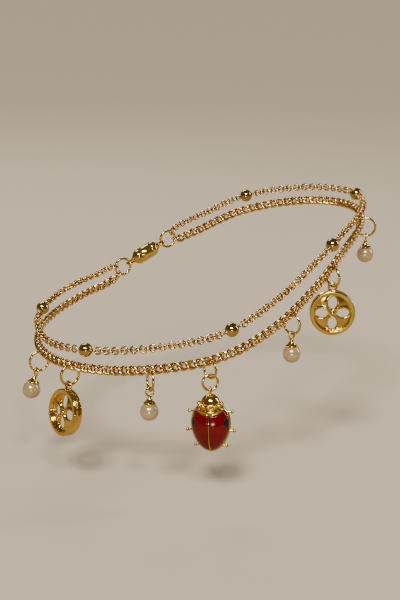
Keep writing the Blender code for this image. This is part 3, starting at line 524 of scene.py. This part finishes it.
def upperChain(balls):
    pitch = 2 * rolo["radius"] - rolo["wire"] - rolo["slack"]
    pinEnd = stationBall["diameter"] / 2 + stationBall["pinPast"]
    eyeRadius, eyeWire = stationBall["eyeRadius"], stationBall["eyeWire"]
    eyePlace = pinEnd + eyeRadius
    fromBall = eyePlace + eyeRadius + rolo["radius"] - (rolo["wire"] + eyeWire) / 2
    fromEnd = rolo["radius"] - (rolo["wire"] + joinery["linkWire"]) / 2
    starts = [fromEnd] + [d + fromBall for d in balls]
    ends = [d - fromBall for d in balls] + [upperStrand["length"] - fromEnd]
    linkRows, eyeRows = [], []

    def row(distance, parity):
        return (pointAt(upperStrand, distance), *directionsAt(upperStrand, distance), parity % 2 * math.pi / 2)

    for i, (start, end) in enumerate(zip(starts, ends)):
        count = round((end - start) / pitch)
        parity = count % 2 if i == len(balls) else 0
        linkRows += [row(start + (end - start) * k / count, parity + k) for k in range(count + 1)]
        if i:
            eyeRows.append(row(balls[i - 1] + eyePlace, parity + 1))
        if i < len(balls):
            eyeRows.append(row(balls[i] - eyePlace, parity + count + 1))
    links = rowOfLinks(linkRows, rolo["radius"], rolo["radius"], 0, rolo["wire"], rolo["steps"], rolo["sides"])
    eyes = rowOfLinks(eyeRows, eyeRadius, eyeRadius, 0, eyeWire, 14, 8)
    pinRadius = stationBall["pin"] / 2
    tip = [(0, pinEnd + pinRadius / 2), (pinRadius / 2, pinEnd + pinRadius / 3),
           (pinRadius, pinEnd - pinRadius / 3)]
    pin = turned(mirrored(tip), 14)
    pins = [(pin, frameAt(upperStrand, d) @ toAlong) for d in balls]
    mesh = joined([(links, Matrix()), (eyes, Matrix())] + pins + endLinkMeshes(upperStrand))
    finishPiece("rolo_chain", mesh, "upper_chain", chainGold, 80)
    print("round links:", len(linkRows))


def stationBalls(balls):
    radius, bore = stationBall["diameter"] / 2, stationBall["bore"] / 2
    edge = math.asin(bore / radius)
    for i, distance in enumerate(balls):
        outline = arc(radius, edge, math.pi - edge, 22)
        outline += [(bore, outline[-1][1] * 0.9), (bore, outline[0][1] * 0.9)]
        mesh = turned(outline, 40, closed=True)
        mesh.transform(frameAt(upperStrand, distance) @ toAlong)
        finishPiece(f"polished_ball_{i + 1}", mesh, f"station_ball_{i + 1}", shadedBallGold)


curbLinks = curbPlaces()
lowerChain(curbLinks)
ballSpots = ballPlaces()
upperChain(ballSpots)
stationBalls(ballSpots)
print("strands made")


# Jump rings, bent from wire with a fine butt seam

def seamRingTree():
    tree, inputs, outputs = newMeshTree("jumpRing", {
        "Radius": 2 * mm, "Wire Radius": 0.3 * mm, "Seam Angle": 0.02, "Seam Place": 2.4, "Loop Steps": 56,
        "Wire Sides": 16})
    sweep = addMath(tree, "SUBTRACT", 2 * math.pi, inputs["Seam Angle"])
    bend = addNode(tree, "GeometryNodeCurveArc", {
        "Resolution": inputs["Loop Steps"], "Radius": inputs["Radius"], "Start Angle": inputs["Seam Place"],
        "Sweep Angle": sweep})
    wire = addNode(tree, "GeometryNodeCurvePrimitiveCircle", {"Resolution": inputs["Wire Sides"],
                                                              "Radius": inputs["Wire Radius"]})
    body = addNode(tree, "GeometryNodeCurveToMesh", {"Curve": bend, "Profile Curve": wire, "Fill Caps": True})
    return closeMeshTree(tree, inputs, outputs, body)


jumpRingTree = seamRingTree()


def jumpRing(node, place, radius, wire, seamPlace=2.4):
    mesh = runTree(bpy.data.meshes.new("start"), jumpRingTree, {
        "Radius": radius, "Wire Radius": wire / 2, "Seam Angle": 0.03 * mm / radius, "Seam Place": seamPlace,
        "Material": charmGold})
    mesh.transform(place)
    finishPiece("wire_" + node, mesh, node, charmGold, 60)


def endRings():
    place, axis, outward, _ = claspDirections()
    for way, node in ((-1, "end_ring_front"), (1, "end_ring_back")):
        jumpRing(node, frameMatrix(place + axis * way * endRingPlace, axis, outward.cross(axis), outward),
                 joinery["ringRadius"], joinery["ringWire"])


def claspBarrel():
    place, _, outward, side = claspDirections()
    half, wide, narrow = barrel["length"] / 2, barrel["width"] / 2, barrel["endWidth"] / 2
    collar, taper = barrel["eyeWire"] / 2, barrel["taper"]
    outline = [(0, half), (narrow * 0.8, half), (narrow, half - barrel["edge"]), (narrow, half - collar)]
    outline += [(narrow + (wide - narrow) * math.sin(t * math.pi / 2), half - collar - (taper - collar) * t)
                for t in [k / 10 for k in range(1, 11)]]
    groove = (half - taper) * barrel["groovePlace"]
    outline += [(wide, groove + barrel["grooveHalf"]), (wide - barrel["grooveDepth"], groove),
                (wide, groove - barrel["grooveHalf"])]
    eyes = [(eyeOf(barrel), raised(way * claspEyePlace) @ toAlong) for way in (1, -1)]
    mesh = joined([(turned(mirrored(outline), 48), Matrix())] + eyes)
    mesh.transform(frameMatrix(place, side, outward, side.cross(outward)))
    finishPiece("clasp_barrel", mesh, "clasp", charmGold, 40)


endRings()
claspBarrel()
print("clasp made")


# Charms: turn is the place on the lower strand, swing turns the ring about the vertical, lean tips the ring
# outward, hang tips the charm outward, face is the charm's compass direction

charmTable = [
    {"kind": "drop", "turn": -4, "swing": 0, "lean": 26, "hang": 16},
    {"kind": "disc", "turn": 15, "swing": -14, "lean": 12, "hang": 10, "face": -82},
    {"kind": "drop", "turn": 47.5, "swing": 20, "lean": 16, "hang": 9},
    {"kind": "bug", "turn": 67.5, "swing": 24, "lean": 10, "hang": 8, "face": -42},
    {"kind": "drop", "turn": 95, "swing": 8, "lean": 12, "hang": 4},
    {"kind": "disc", "turn": 116, "swing": -20, "lean": 12, "hang": 3, "face": -34},
    {"kind": "drop", "turn": 152, "swing": 0, "lean": 28, "hang": 2},
]


def charmDirections(charm):
    outward = loopOutward(charm["turn"])
    hang = math.radians(charm["hang"])
    return outward, outward * math.sin(hang) - up * math.cos(hang)


def swung(outward, down, swing):
    turnedOut = Matrix.Rotation(math.radians(swing), 3, "Z") @ outward
    return (turnedOut - down * turnedOut.dot(down)).normalized()


def ringFrame(centre, across, down):
    return frameMatrix(centre, across, -down, across.cross(-down))


def chainRing(node, charm, piece):  # through the nearest link; gives its lowest wire and directions
    radius = piece["ringRadius"]
    wanted = distanceAt(lowerStrand, charm["turn"])
    linkPlace = pointAt(lowerStrand, min(curbLinks, key=lambda d: abs(d - wanted)))
    outward, down = charmDirections(charm)
    across = swung(outward, down, charm["swing"])
    lean = math.radians(charm["lean"])
    centre = linkPlace + (down * math.cos(lean) + across * math.sin(lean)) * radius
    jumpRing(node, ringFrame(centre, across, down), radius, piece["ringWire"], 0.6)
    return centre + down * radius, across, down


def hangingEye(wirePlace, down, piece):  # where the middle of the piece's eye hangs
    wires = (piece["eyeWire"] + piece["ringWire"]) / 2
    return wirePlace + down * (piece["eyeRadius"] - wires - joinery["clearance"])


def faceFrame(place, facing, down):  # -Y looks out of the charm's face, Z is up
    facing = (facing - down * facing.dot(down)).normalized()
    return frameMatrix(place, facing.cross(down), -facing, -down)


def compass(angle):
    return Vector((math.sin(math.radians(angle)), -math.cos(math.radians(angle)), 0))


# Pearl drops

drop = sizes(ringRadius=2.35, ringWire=0.6, pearl=4.3, bore=0.9, boreDepth=2.4, peg=0.6, pegLength=2.0,
             seat=0.1, capHeight=1.6, capWall=0.12, neck=0.8, neckBead=0.3, rimBead=0.26, eyeRadius=0.95,
             eyeWire=0.46) | {"rimAngle": math.radians(34), "flare": 1.7}


def pearlDrop(number, charm):
    wirePlace, across, down = chainRing(f"drop_ring_{number}", charm, drop)
    eyePlace = hangingEye(wirePlace, down, drop)
    hanging = faceFrame(eyePlace, across, down)
    radius, height, wall = drop["pearl"] / 2, drop["capHeight"], drop["capWall"]
    rimRadius = radius + drop["seat"]
    capTop = drop["eyeRadius"] + drop["eyeWire"] / 4
    pearlDown = capTop + height + rimRadius * math.cos(drop["rimAngle"])
    seat = raised(-pearlDown)

    bore, boreEnd = drop["bore"] / 2, radius - drop["boreDepth"]
    mesh = turned([(0, boreEnd), (bore, boreEnd)] + arc(radius, math.asin(bore / radius), math.pi, 30), 48)
    mesh.transform(hanging @ seat)
    finishPiece(f"pearl_bead_{number}", mesh, f"pearl_{number}", pearlLustre, 70)

    rimHeight = rimRadius * math.cos(drop["rimAngle"])
    capRim = rimRadius * math.sin(drop["rimAngle"])
    neck, peg, pegEnd = drop["neck"] / 2, drop["peg"] / 2, rimRadius - drop["pegLength"]
    outline = [(0, rimHeight + height), (neck * 0.7, rimHeight + height)]
    outline += [(neck + (capRim + wall - neck) * t ** drop["flare"], rimHeight + height * (1 - t) + wall * t)
                for t in [k / 8 for k in range(9)]]
    outline += arc(rimRadius, drop["rimAngle"], math.asin(peg / rimRadius), 6)
    cap = turned(outline + [(peg, pegEnd), (0, pegEnd)], 36)
    neckBead = ring(neck * 0.95, drop["neckBead"], 28, 10)
    rimBead = ring(capRim + wall * 0.4, drop["rimBead"], 40, 10)
    mesh = joined([(cap, seat), (neckBead, seat @ raised(rimHeight + height * 0.92)),
                   (rimBead, seat @ raised(rimHeight + wall * 0.7)), (eyeOf(drop), toSideways)])
    mesh.transform(hanging)
    finishPiece(f"bell_cap_{number}", mesh, f"drop_cap_{number}", charmGold, 45)


# Pierced discs

disc = sizes(ringRadius=2.35, ringWire=0.66, diameter=11, rimWidth=1.1, thickness=2.2, groove=0.12, web=0.7,
             rise=0.45, holeLength=2.95, holeWidth=2.1, holeRadius=2.55, lip=0.14, lipWidth=0.34, edge=0.3,
             eyeRadius=0.95, eyeWire=0.62, buttonRadius=0.62, buttonRise=0.3) | {"around": 64, "outTo": 10}


def discRim():
    outer, half, soft = disc["diameter"] / 2, disc["thickness"] / 2, disc["edge"]
    inner, hollow = outer - disc["rimWidth"], outer - disc["groove"]
    outline = [(inner + soft, half)] + arc(soft, 0, math.pi / 2, 6, (outer - soft, half - soft))
    outline += mirrored([(outer, half * 0.25), (hollow, half * 0.12)])
    outline += arc(soft, math.pi / 2, math.pi, 6, (outer - soft, soft - half))
    outline += [(inner + soft, -half)] + arc(soft, math.pi, math.pi * 1.5, 5, (inner + soft, soft - half))[1:]
    outline += [(inner, 0)] + arc(soft, math.pi * 1.5, math.pi * 2, 5, (inner + soft, half - soft))[:-1]
    return turned(outline, 96, closed=True)


def discWeb():  # four oval openings in a domed sheet with rounded, slightly raised lips
    bm = bmesh.new()
    reach = disc["diameter"] / 2 - disc["rimWidth"] * 0.6
    halfLength, halfWidth, middle = disc["holeLength"] / 2, disc["holeWidth"] / 2, disc["holeRadius"]

    def outerPoint(angle):  # where a ray from the hole's middle leaves its quarter of the disc
        ray = Vector((math.cos(angle), math.sin(angle)))
        limits = [-middle * ray.x + math.sqrt((middle * ray.x) ** 2 + reach**2 - middle**2)]
        for sign in (1, -1):
            closing = sign * ray.y - ray.x
            if closing > 1e-9:
                limits.append(middle / closing)
        return ray * min(limits)

    def sheetHeight(x, y):
        share = min(math.hypot(x, y) / reach, 1)
        return disc["rise"] * (1 - share**2)

    for quarter in range(4):
        turn = Matrix.Rotation(quarter * math.pi / 2, 2)
        grids = {1: [], -1: []}
        for i in range(disc["around"]):
            angle = 2 * math.pi * i / disc["around"]
            edge = Vector((halfLength * math.cos(angle), halfWidth * math.sin(angle)))
            outer = outerPoint(angle)
            if outer.length < edge.length * 1.02:
                outer = edge.normalized() * edge.length * 1.02
            for grid in grids.values():
                grid.append([])
            for k in range(disc["outTo"] + 1):
                share = (k / disc["outTo"]) ** 1.8
                point = edge.lerp(outer, share)
                inward = (point - edge).length
                rounded = math.sqrt(max(0, 1 - (1 - min(inward / disc["edge"], 1)) ** 2))
                lip = disc["lip"] * math.exp(-((inward - disc["lipWidth"]) / disc["lipWidth"] * 1.6) ** 2)
                flat = turn @ Vector((point.x + middle, point.y))
                for side, grid in grids.items():
                    height = sheetHeight(*flat) + side * (disc["web"] / 2 + lip) * rounded
                    grid[-1].append(bm.verts.new((flat.x, flat.y, height)))
        for side, grid in grids.items():
            for i in range(disc["around"]):
                here, after = grid[i], grid[(i + 1) % disc["around"]]
                for k in range(disc["outTo"]):
                    corners = (here[k], here[k + 1], after[k + 1], after[k])
                    bm.faces.new(corners if side > 0 else corners[::-1])
    bmesh.ops.remove_doubles(bm, verts=bm.verts, dist=1e-6)
    return meshOf(bm)


def piercedDisc(number, charm):
    wirePlace, _, down = chainRing(f"disc_ring_{number}", charm, disc)
    eyePlace = hangingEye(wirePlace, down, disc)
    hanging = faceFrame(eyePlace, compass(charm["face"]), down)
    middle = disc["diameter"] / 2 + disc["eyeRadius"] - disc["eyeWire"] / 4
    toFace = raised(-middle) @ toSideways
    button = egg((disc["buttonRadius"], disc["buttonRadius"], disc["buttonRise"]), 28, 14)
    mesh = joined([(discRim(), toFace), (discWeb(), toFace),
                   (button, toFace @ raised(disc["rise"] + disc["web"] / 2)), (eyeOf(disc), toSideways)])
    mesh.transform(hanging)
    finishPiece(f"pierced_disc_{number}", mesh, f"disc_charm_{number}", charmGold, 50)


# Ladybug

bug = sizes(ringRadius=1.95, lowerRing=1.8, ringWire=0.62, halfWidth=4.3, halfHeight=5.6, depth=3.1,
            enamel=0.6, meniscus=0.2, rim=0.35, plateBack=0.7, rib=0.4, headHalfWidth=2.35,
            headHalfHeight=2.65, headDepth=2.15, headToBody=5.0, collarRadius=2.6, collarWidth=1.2,
            collarHeight=1.75, collarDrop=0.25, collarBead=0.57, neckInset=0.3, ridge=0.2, ridgeSink=0.22,
            eyeRadius=0.8, eyeWire=0.5, legWire=0.5, legBead=0.85, legReach=0.95, spotWidth=2.5, spotLift=1.2,
            spotCrown=0.13, spotEdge=0.3, spotDepth=0.35) | {
    "lowerSwing": -93, "shoulders": 0.14, "ribTop": 0.62, "ribLength": 1.6, "neckEase": 1.1, "collarBeads": 7,
    "collarTilt": math.radians(12), "spotAngle": math.radians(74),
    "legHeights": (3.5 * mm, -0.9 * mm, -4.4 * mm), "beadLine": (2.58 * mm, 0.72 * mm),
    "collarTubes": (  # radius, lift, wire and sides
        (2.3 * mm, 0.1 * mm, 0.36 * mm, 14), (2.74 * mm, -0.5 * mm, 0.46 * mm, 16))}
shellRadii = (bug["halfWidth"], bug["depth"], bug["halfHeight"])


def bugWidening(height):
    return 1 + bug["shoulders"] * height / bug["halfHeight"]


def shellNormal(point):
    return Vector([x / r**2 for x, r in zip(point, shellRadii)]).normalized()


def bugShare(height):
    return math.sqrt(1 - min(abs(height) / bug["halfHeight"], 1) ** 2)


def bugHalfWidthAt(height):
    return bug["halfWidth"] * bugShare(height) * bugWidening(height)


def bugDepthAt(height):
    return bug["depth"] * bugShare(height)


collarReach = bug["collarRadius"] + bug["collarWidth"] / 2
collarSag = bug["collarDrop"] + bug["collarHeight"] / 2 + collarReach * math.sin(bug["collarTilt"])
neckReach = [reach * bug["neckEase"] + joinery["clearance"] for reach in (collarReach, collarSag)]


def wingMesh(side):  # a grid from the rib to the rim and from the neck to the tail, with a rounded glassy edge
    across, along = 26, 40
    inner = bug["rib"] * 0.42

    def surface(c, height):
        width, depth = max(bugHalfWidthAt(height), inner * 1.001), max(bugDepthAt(height), 1e-6)
        start = math.asin(min(inner / width, 1))
        end = max(start, math.acos(min(joinery["clearance"] / depth, 1)))
        angle = start + (end - start) * c
        return Vector((side * width * math.sin(angle), -depth * math.cos(angle), height))

    def topHeight(c):  # where the wing stops under the collar
        height = bug["headToBody"] - neckReach[1]
        for _ in range(40):
            share = min(abs(surface(c, height).x) / neckReach[0], 1)
            height += (bug["headToBody"] - neckReach[1] * math.sqrt(1 - share**2) - height) * 0.5
        return height

    tail = -bug["halfHeight"] * 0.985
    shares = [(1 - math.cos(math.pi * k / across)) / 2 for k in range(across + 1)]
    rows = [(1 - math.cos(math.pi * k / along)) / 2 for k in range(along + 1)]
    tops = [topHeight(c) for c in shares]
    outer = [[surface(c, tops[i] + (tail - tops[i]) * t) for i, c in enumerate(shares)] for t in rows]
    bm = bmesh.new()
    sheets = {"out": [], "in": []}
    for j, line in enumerate(outer):
        outs, ins = [], []
        for i, point in enumerate(line):
            normal = shellNormal(point)
            toEdges = [(point - line[0]).length, (point - line[-1]).length,
                       (point - outer[0][i]).length, (point - outer[-1][i]).length]
            close = min(min(toEdges) / bug["meniscus"], 1)
            lift = math.sqrt(1 - (1 - close) ** 2)
            base = point - normal * bug["enamel"] * 0.85
            outs.append(bm.verts.new(base.lerp(point, lift)))
            ins.append(bm.verts.new(base - normal * bug["enamel"] * 0.1 * lift))
        sheets["out"].append(outs)
        sheets["in"].append(ins)
    for key, sheet in sheets.items():
        for j in range(along):
            for i in range(across):
                corners = (sheet[j][i], sheet[j + 1][i], sheet[j + 1][i + 1], sheet[j][i + 1])
                bm.faces.new(corners if (key == "out") == (side > 0) else corners[::-1])
    bmesh.ops.remove_doubles(bm, verts=bm.verts, dist=2e-7)
    bmesh.ops.recalc_face_normals(bm, faces=bm.faces)
    return meshOf(bm)


def onShell(start, direction):  # moves a point along a direction until it lies on the wing cases
    low, high = -2.5 * mm, 2.5 * mm
    for _ in range(40):
        middle = (low + high) / 2
        point = start + direction * middle
        point.x /= bugWidening(point.z)
        outside = sum((x / r) ** 2 for x, r in zip(point, shellRadii)) > 1
        low, high = (low, middle) if outside else (middle, high)
    return start + direction * low


def spotMesh(side):
    lift, crown, depth = bug["spotLift"], bug["spotCrown"], bug["spotDepth"]
    place = Vector((side * bugHalfWidthAt(lift) * math.sin(bug["spotAngle"]),
                    -bugDepthAt(lift) * math.cos(bug["spotAngle"]), lift))
    outward = shellNormal(place)
    toSpot = Matrix.Translation(place) @ outward.to_track_quat("Z", "Y").to_matrix().to_4x4()
    half = bug["spotWidth"] / 2
    outline = [(half * math.sin(a), crown * math.cos(a)) for a in [math.pi / 2 * k / 12 for k in range(13)]]
    mesh = turned(outline + [(half * 0.98, -bug["spotEdge"]), (half * 0.7, -depth), (0, -depth)], 40)
    for vertex in mesh.vertices:
        flat = toSpot @ Vector((vertex.co.x, vertex.co.y, 0))
        vertex.co = onShell(flat, outward) + outward * vertex.co.z
    bm = bmesh.new()
    bm.from_mesh(mesh)
    everything = bm.verts[:] + bm.edges[:] + bm.faces[:]
    bmesh.ops.bisect_plane(bm, geom=everything, plane_co=(0, -joinery["clearance"], 0), plane_no=(0, 1, 0),
                           clear_outer=True)
    bmesh.ops.holes_fill(bm, edges=[edge for edge in bm.edges if edge.is_boundary])
    return meshOf(bm)


def beadRowTree():  # a ball at each vertex
    tree, inputs, outputs = newMeshTree("beadRow", {"Bead Radius": 0.45 * mm, "Segments": 16, "Rings": 10})
    bead = addNode(tree, "GeometryNodeMeshUVSphere", {"Segments": inputs["Segments"], "Rings": inputs["Rings"],
                                                      "Radius": inputs["Bead Radius"]})
    row = addNode(tree, "GeometryNodeInstanceOnPoints", {"Points": inputs["Geometry"], "Instance": bead})
    return closeMeshTree(tree, inputs, outputs, row)


beadRow = beadRowTree()


def beadsAt(points, radius):
    mesh = bpy.data.meshes.new("beadPlaces")
    mesh.from_pydata(points, [], [])
    return runTree(mesh, beadRow, {"Bead Radius": radius, "Material": charmGold})


def bugOutline(grow, y, steps=72):  # the wing cases' outline seen from the front
    points = []
    for k in range(steps):
        angle = 2 * math.pi * k / steps
        height = (bug["halfHeight"] + grow) * math.cos(angle)
        points.append(((bug["halfWidth"] + grow) * math.sin(angle) * bugWidening(height), y, height))
    return points


def bugBodyParts(headFrame, shellFrame):
    plate, rim = bug["plateBack"], bug["rim"]
    base = egg([radius - bug["enamel"] for radius in shellRadii], 40, 28)
    back = egg((bug["halfWidth"] + rim * 0.4, plate * 0.45, bug["halfHeight"] + rim * 0.4), 56, 24)
    for mesh in (base, back):
        for vertex in mesh.vertices:
            vertex.co.x *= bugWidening(vertex.co.z)
            vertex.co.y = min(vertex.co.y, plate * 0.6)
    rimWire = (plate - 0.06 * mm) / 2
    edge = tube(bugOutline(rim - rimWire, plate - rimWire), rimWire, 12, closed=True)
    heights = [bug["halfHeight"] * (bug["ribTop"] - bug["ribLength"] * k / 40) for k in range(41)]
    ribLine = [(0, bug["rib"] * 0.5 - bugDepthAt(height), height) for height in heights]
    rib = tube(ribLine, bug["rib"] * 0.34, 10, reference=Vector((1, 0, 0)))
    head = egg((bug["headHalfWidth"], bug["headDepth"], bug["headHalfHeight"]), 48, 32)
    for vertex in head.vertices:
        vertex.co.y = min(vertex.co.y, plate * 0.8)
    backFrame = shellFrame @ Matrix.Translation((0, plate * 0.53, 0))
    parts = [(base, shellFrame), (back, backFrame), (edge, shellFrame), (rib, shellFrame), (head, headFrame)]

    tilt = raised(-bug["collarDrop"]) @ Matrix.Rotation(bug["collarTilt"], 4, "X")
    flattened = bug["headDepth"] / bug["headHalfWidth"]

    def collarLine(radius, lift, count, past):  # the front of the collar, from one side to the other
        angles = [math.radians(-past + (180 + 2 * past) * k / (count - 1)) for k in range(count)]
        return [tilt @ Vector((radius * math.cos(a), -radius * flattened * math.sin(a), lift)) for a in angles]

    neckTop = bug["collarRadius"] - bug["neckInset"]
    neck = turned([(0, 0.4 * mm), (neckTop, 0.3 * mm), (bug["collarRadius"], -0.75 * mm), (0, -0.8 * mm)], 48)
    for vertex in neck.vertices:
        vertex.co.y *= flattened
        vertex.co = tilt @ vertex.co
        vertex.co.y = min(vertex.co.y, plate * 0.7)
    parts.append((neck, headFrame))
    for radius, lift, wire, sides in bug["collarTubes"]:
        parts.append((tube(collarLine(radius, lift, 60, 3), wire, sides), headFrame))
    parts.append((beadsAt(collarLine(*bug["beadLine"], bug["collarBeads"], -2), bug["collarBead"]), headFrame))
    wide, tall = [reach - bug["ridge"] for reach in neckReach]
    ridge = []
    for k in range(49):  # the smooth edge that the wings butt against
        x = wide * 0.86 * math.sin(math.pi / 2 * (k / 24 - 1))
        z = bug["headToBody"] - tall * math.sqrt(1 - (x / wide) ** 2)
        ridge.append(onShell(Vector((x, 0, z)), Vector((0, -1, 0))) + Vector((0, bug["ridgeSink"], 0)))
    parts.append((tube(ridge, bug["ridge"], 12), shellFrame))
    parts.append((eyeOf(bug), toAlong))

    feet = []
    for height in bug["legHeights"]:
        reach, length = bugHalfWidthAt(height), rim + bug["legReach"]
        for side in (-1, 1):
            path = [Vector((side * (reach + length * t), plate / 2, height)) for t in (0, 0.35, 0.7, 1)]
            parts.append((tube(path, [bug["legWire"] / 2 * w for w in (1, 0.95, 0.85, 0.8)], 10), shellFrame))
            feet.append(path[-1])
    parts.append((beadsAt(feet, bug["legBead"] / 2), shellFrame))
    return parts


def ladybug(charm):
    wirePlace, across, down = chainRing("bug_upper_ring", charm, bug)
    centre = wirePlace + down * (bug["lowerRing"] - bug["ringWire"] - joinery["clearance"])
    outward, down = charmDirections(charm)
    across = swung(outward, down, bug["lowerSwing"])
    jumpRing("bug_lower_ring", ringFrame(centre, across, down), bug["lowerRing"], bug["ringWire"], 3.6)
    wirePlace = centre + down * bug["lowerRing"]
    eyePlace = hangingEye(wirePlace, down, bug)
    hanging = faceFrame(eyePlace, compass(charm["face"]), down)
    headFrame = raised(bug["eyeWire"] / 4 - bug["eyeRadius"] - bug["headHalfHeight"])
    shellFrame = headFrame @ raised(-bug["headToBody"])
    body = joined(bugBodyParts(headFrame, shellFrame))
    body.transform(hanging)
    finishPiece("ladybug_body", body, "bug_body", charmGold, 60)
    for side, name in ((-1, "left"), (1, "right")):
        wing = wingMesh(side)
        wing.transform(hanging @ shellFrame)
        finishPiece(f"ladybug_wing_{name}", wing, f"bug_wing_{name}", crimsonEnamel, 80)
        spot = spotMesh(side)
        spot.transform(hanging @ shellFrame)
        finishPiece(f"ladybug_spot_{name}", spot, f"bug_spot_{name}", blackEnamel, 60)
    print("ladybug made")


counts = {"drop": 0, "disc": 0}
for charm in charmTable:
    if charm["kind"] == "bug":
        ladybug(charm)
    else:
        counts[charm["kind"]] += 1
        (pearlDrop if charm["kind"] == "drop" else piercedDisc)(counts[charm["kind"]], charm)
print("charms made")


# Studio

studio = {"aim": Vector((-1.5, 0, -4)) * mm, "azimuth": -32, "elevation": 16, "roll": 2, "distance": 300 * mm,
          "lens": 71, "floorDrop": 12 * mm, "floorReach": 6}


def studioCamera():
    camera = objectOf("camera", bpy.data.cameras.new("camera"))
    a, e = math.radians(studio["azimuth"]), math.radians(studio["elevation"])
    back = Vector((math.sin(a) * math.cos(e), -math.cos(a) * math.cos(e), math.sin(e)))
    turn = back.to_track_quat("Z", "Y").to_matrix() @ Matrix.Rotation(math.radians(studio["roll"]), 3, "Z")
    camera.location = studio["aim"] + back * studio["distance"]
    camera.rotation_euler = turn.to_euler()
    camera.data.lens = studio["lens"]
    camera.data.clip_start = 0.01
    bpy.context.scene.camera = camera


def lampOf(name, kind, direction, power, colour):
    lamp = objectOf(name, bpy.data.lights.new(name, kind))
    lamp.rotation_euler = direction.to_track_quat("Z", "Y").to_euler()
    lamp.data.energy = power
    lamp.data.color = colour
    return lamp


def softLight(name, place, size, power, colour):
    lamp = lampOf(name, "AREA", Vector(place) - studio["aim"], power, colour)
    lamp.location = place
    lamp.data.shape = "RECTANGLE"
    lamp.data.size, lamp.data.size_y = size


def studioFloor():
    floor = objectOf("floor", turned([(0, 0), (studio["floorReach"], 0)], 64))
    floor.data.transform(raised(cadBox[0].z - studio["floorDrop"]))
    material, tree, shader = newMaterial("paleFloor")
    inGold = addNode(tree, "ShaderNodeLightPath").outputs["Is Glossy Ray"]  # painted shade: the floor is darker where it is seen in reflections, as in a dim room
    tone = addNode(tree, "ShaderNodeMix", {"Factor": inGold, 6: (0.6, 0.51, 0.39, 1),
                                           7: (0.4, 0.33, 0.24, 1)}, data_type="RGBA")
    tree.links.new(tone.outputs[2], shader["Base Color"])
    shader["Roughness"].default_value = 0.9
    shader["Specular IOR Level"].default_value = 0.1
    floor.data.materials.append(material)


def studioWorld():
    world = bpy.data.worlds.new("studio")
    world.use_nodes = True
    bpy.context.scene.world = world
    tree = world.node_tree
    dim = tree.nodes["Background"]
    dim.inputs["Color"].default_value = (1, 0.86, 0.68, 1)
    dim.inputs["Strength"].default_value = 0.12
    pale = addNode(tree, "ShaderNodeBackground", {"Color": (0.5, 0.43, 0.33, 1), "Strength": 1})
    seen = addNode(tree, "ShaderNodeLightPath").outputs["Is Camera Ray"]
    both = addNode(tree, "ShaderNodeMixShader", {0: seen, 1: dim, 2: pale})
    tree.links.new(both.outputs[0], tree.nodes["World Output"].inputs["Surface"])


def softSun(direction, power, colour, spread):
    sun = lampOf("sun", "SUN", Vector(direction), power, colour)
    sun.data.angle = math.radians(spread)


studioCamera()
studioFloor()
studioWorld()
softSun((-0.5, -0.45, 0.75), 3.1, (1, 0.96, 0.89), 14)
softLight("front", (-0.14, -0.32, 0.34), (0.06, 0.06), 0.7, (1, 0.96, 0.88))
softLight("low", (-0.27, -0.42, 0.035), (0.09, 0.03), 0.35, (1, 0.96, 0.88))
softLight("side", (0.45, -0.12, 0.2), (0.04, 0.3), 0.7, (1, 0.95, 0.86))
softLight("rear", (0.05, 0.4, 0.35), (0.3, 0.05), 0.7, (1, 0.96, 0.9))
print("studio made")
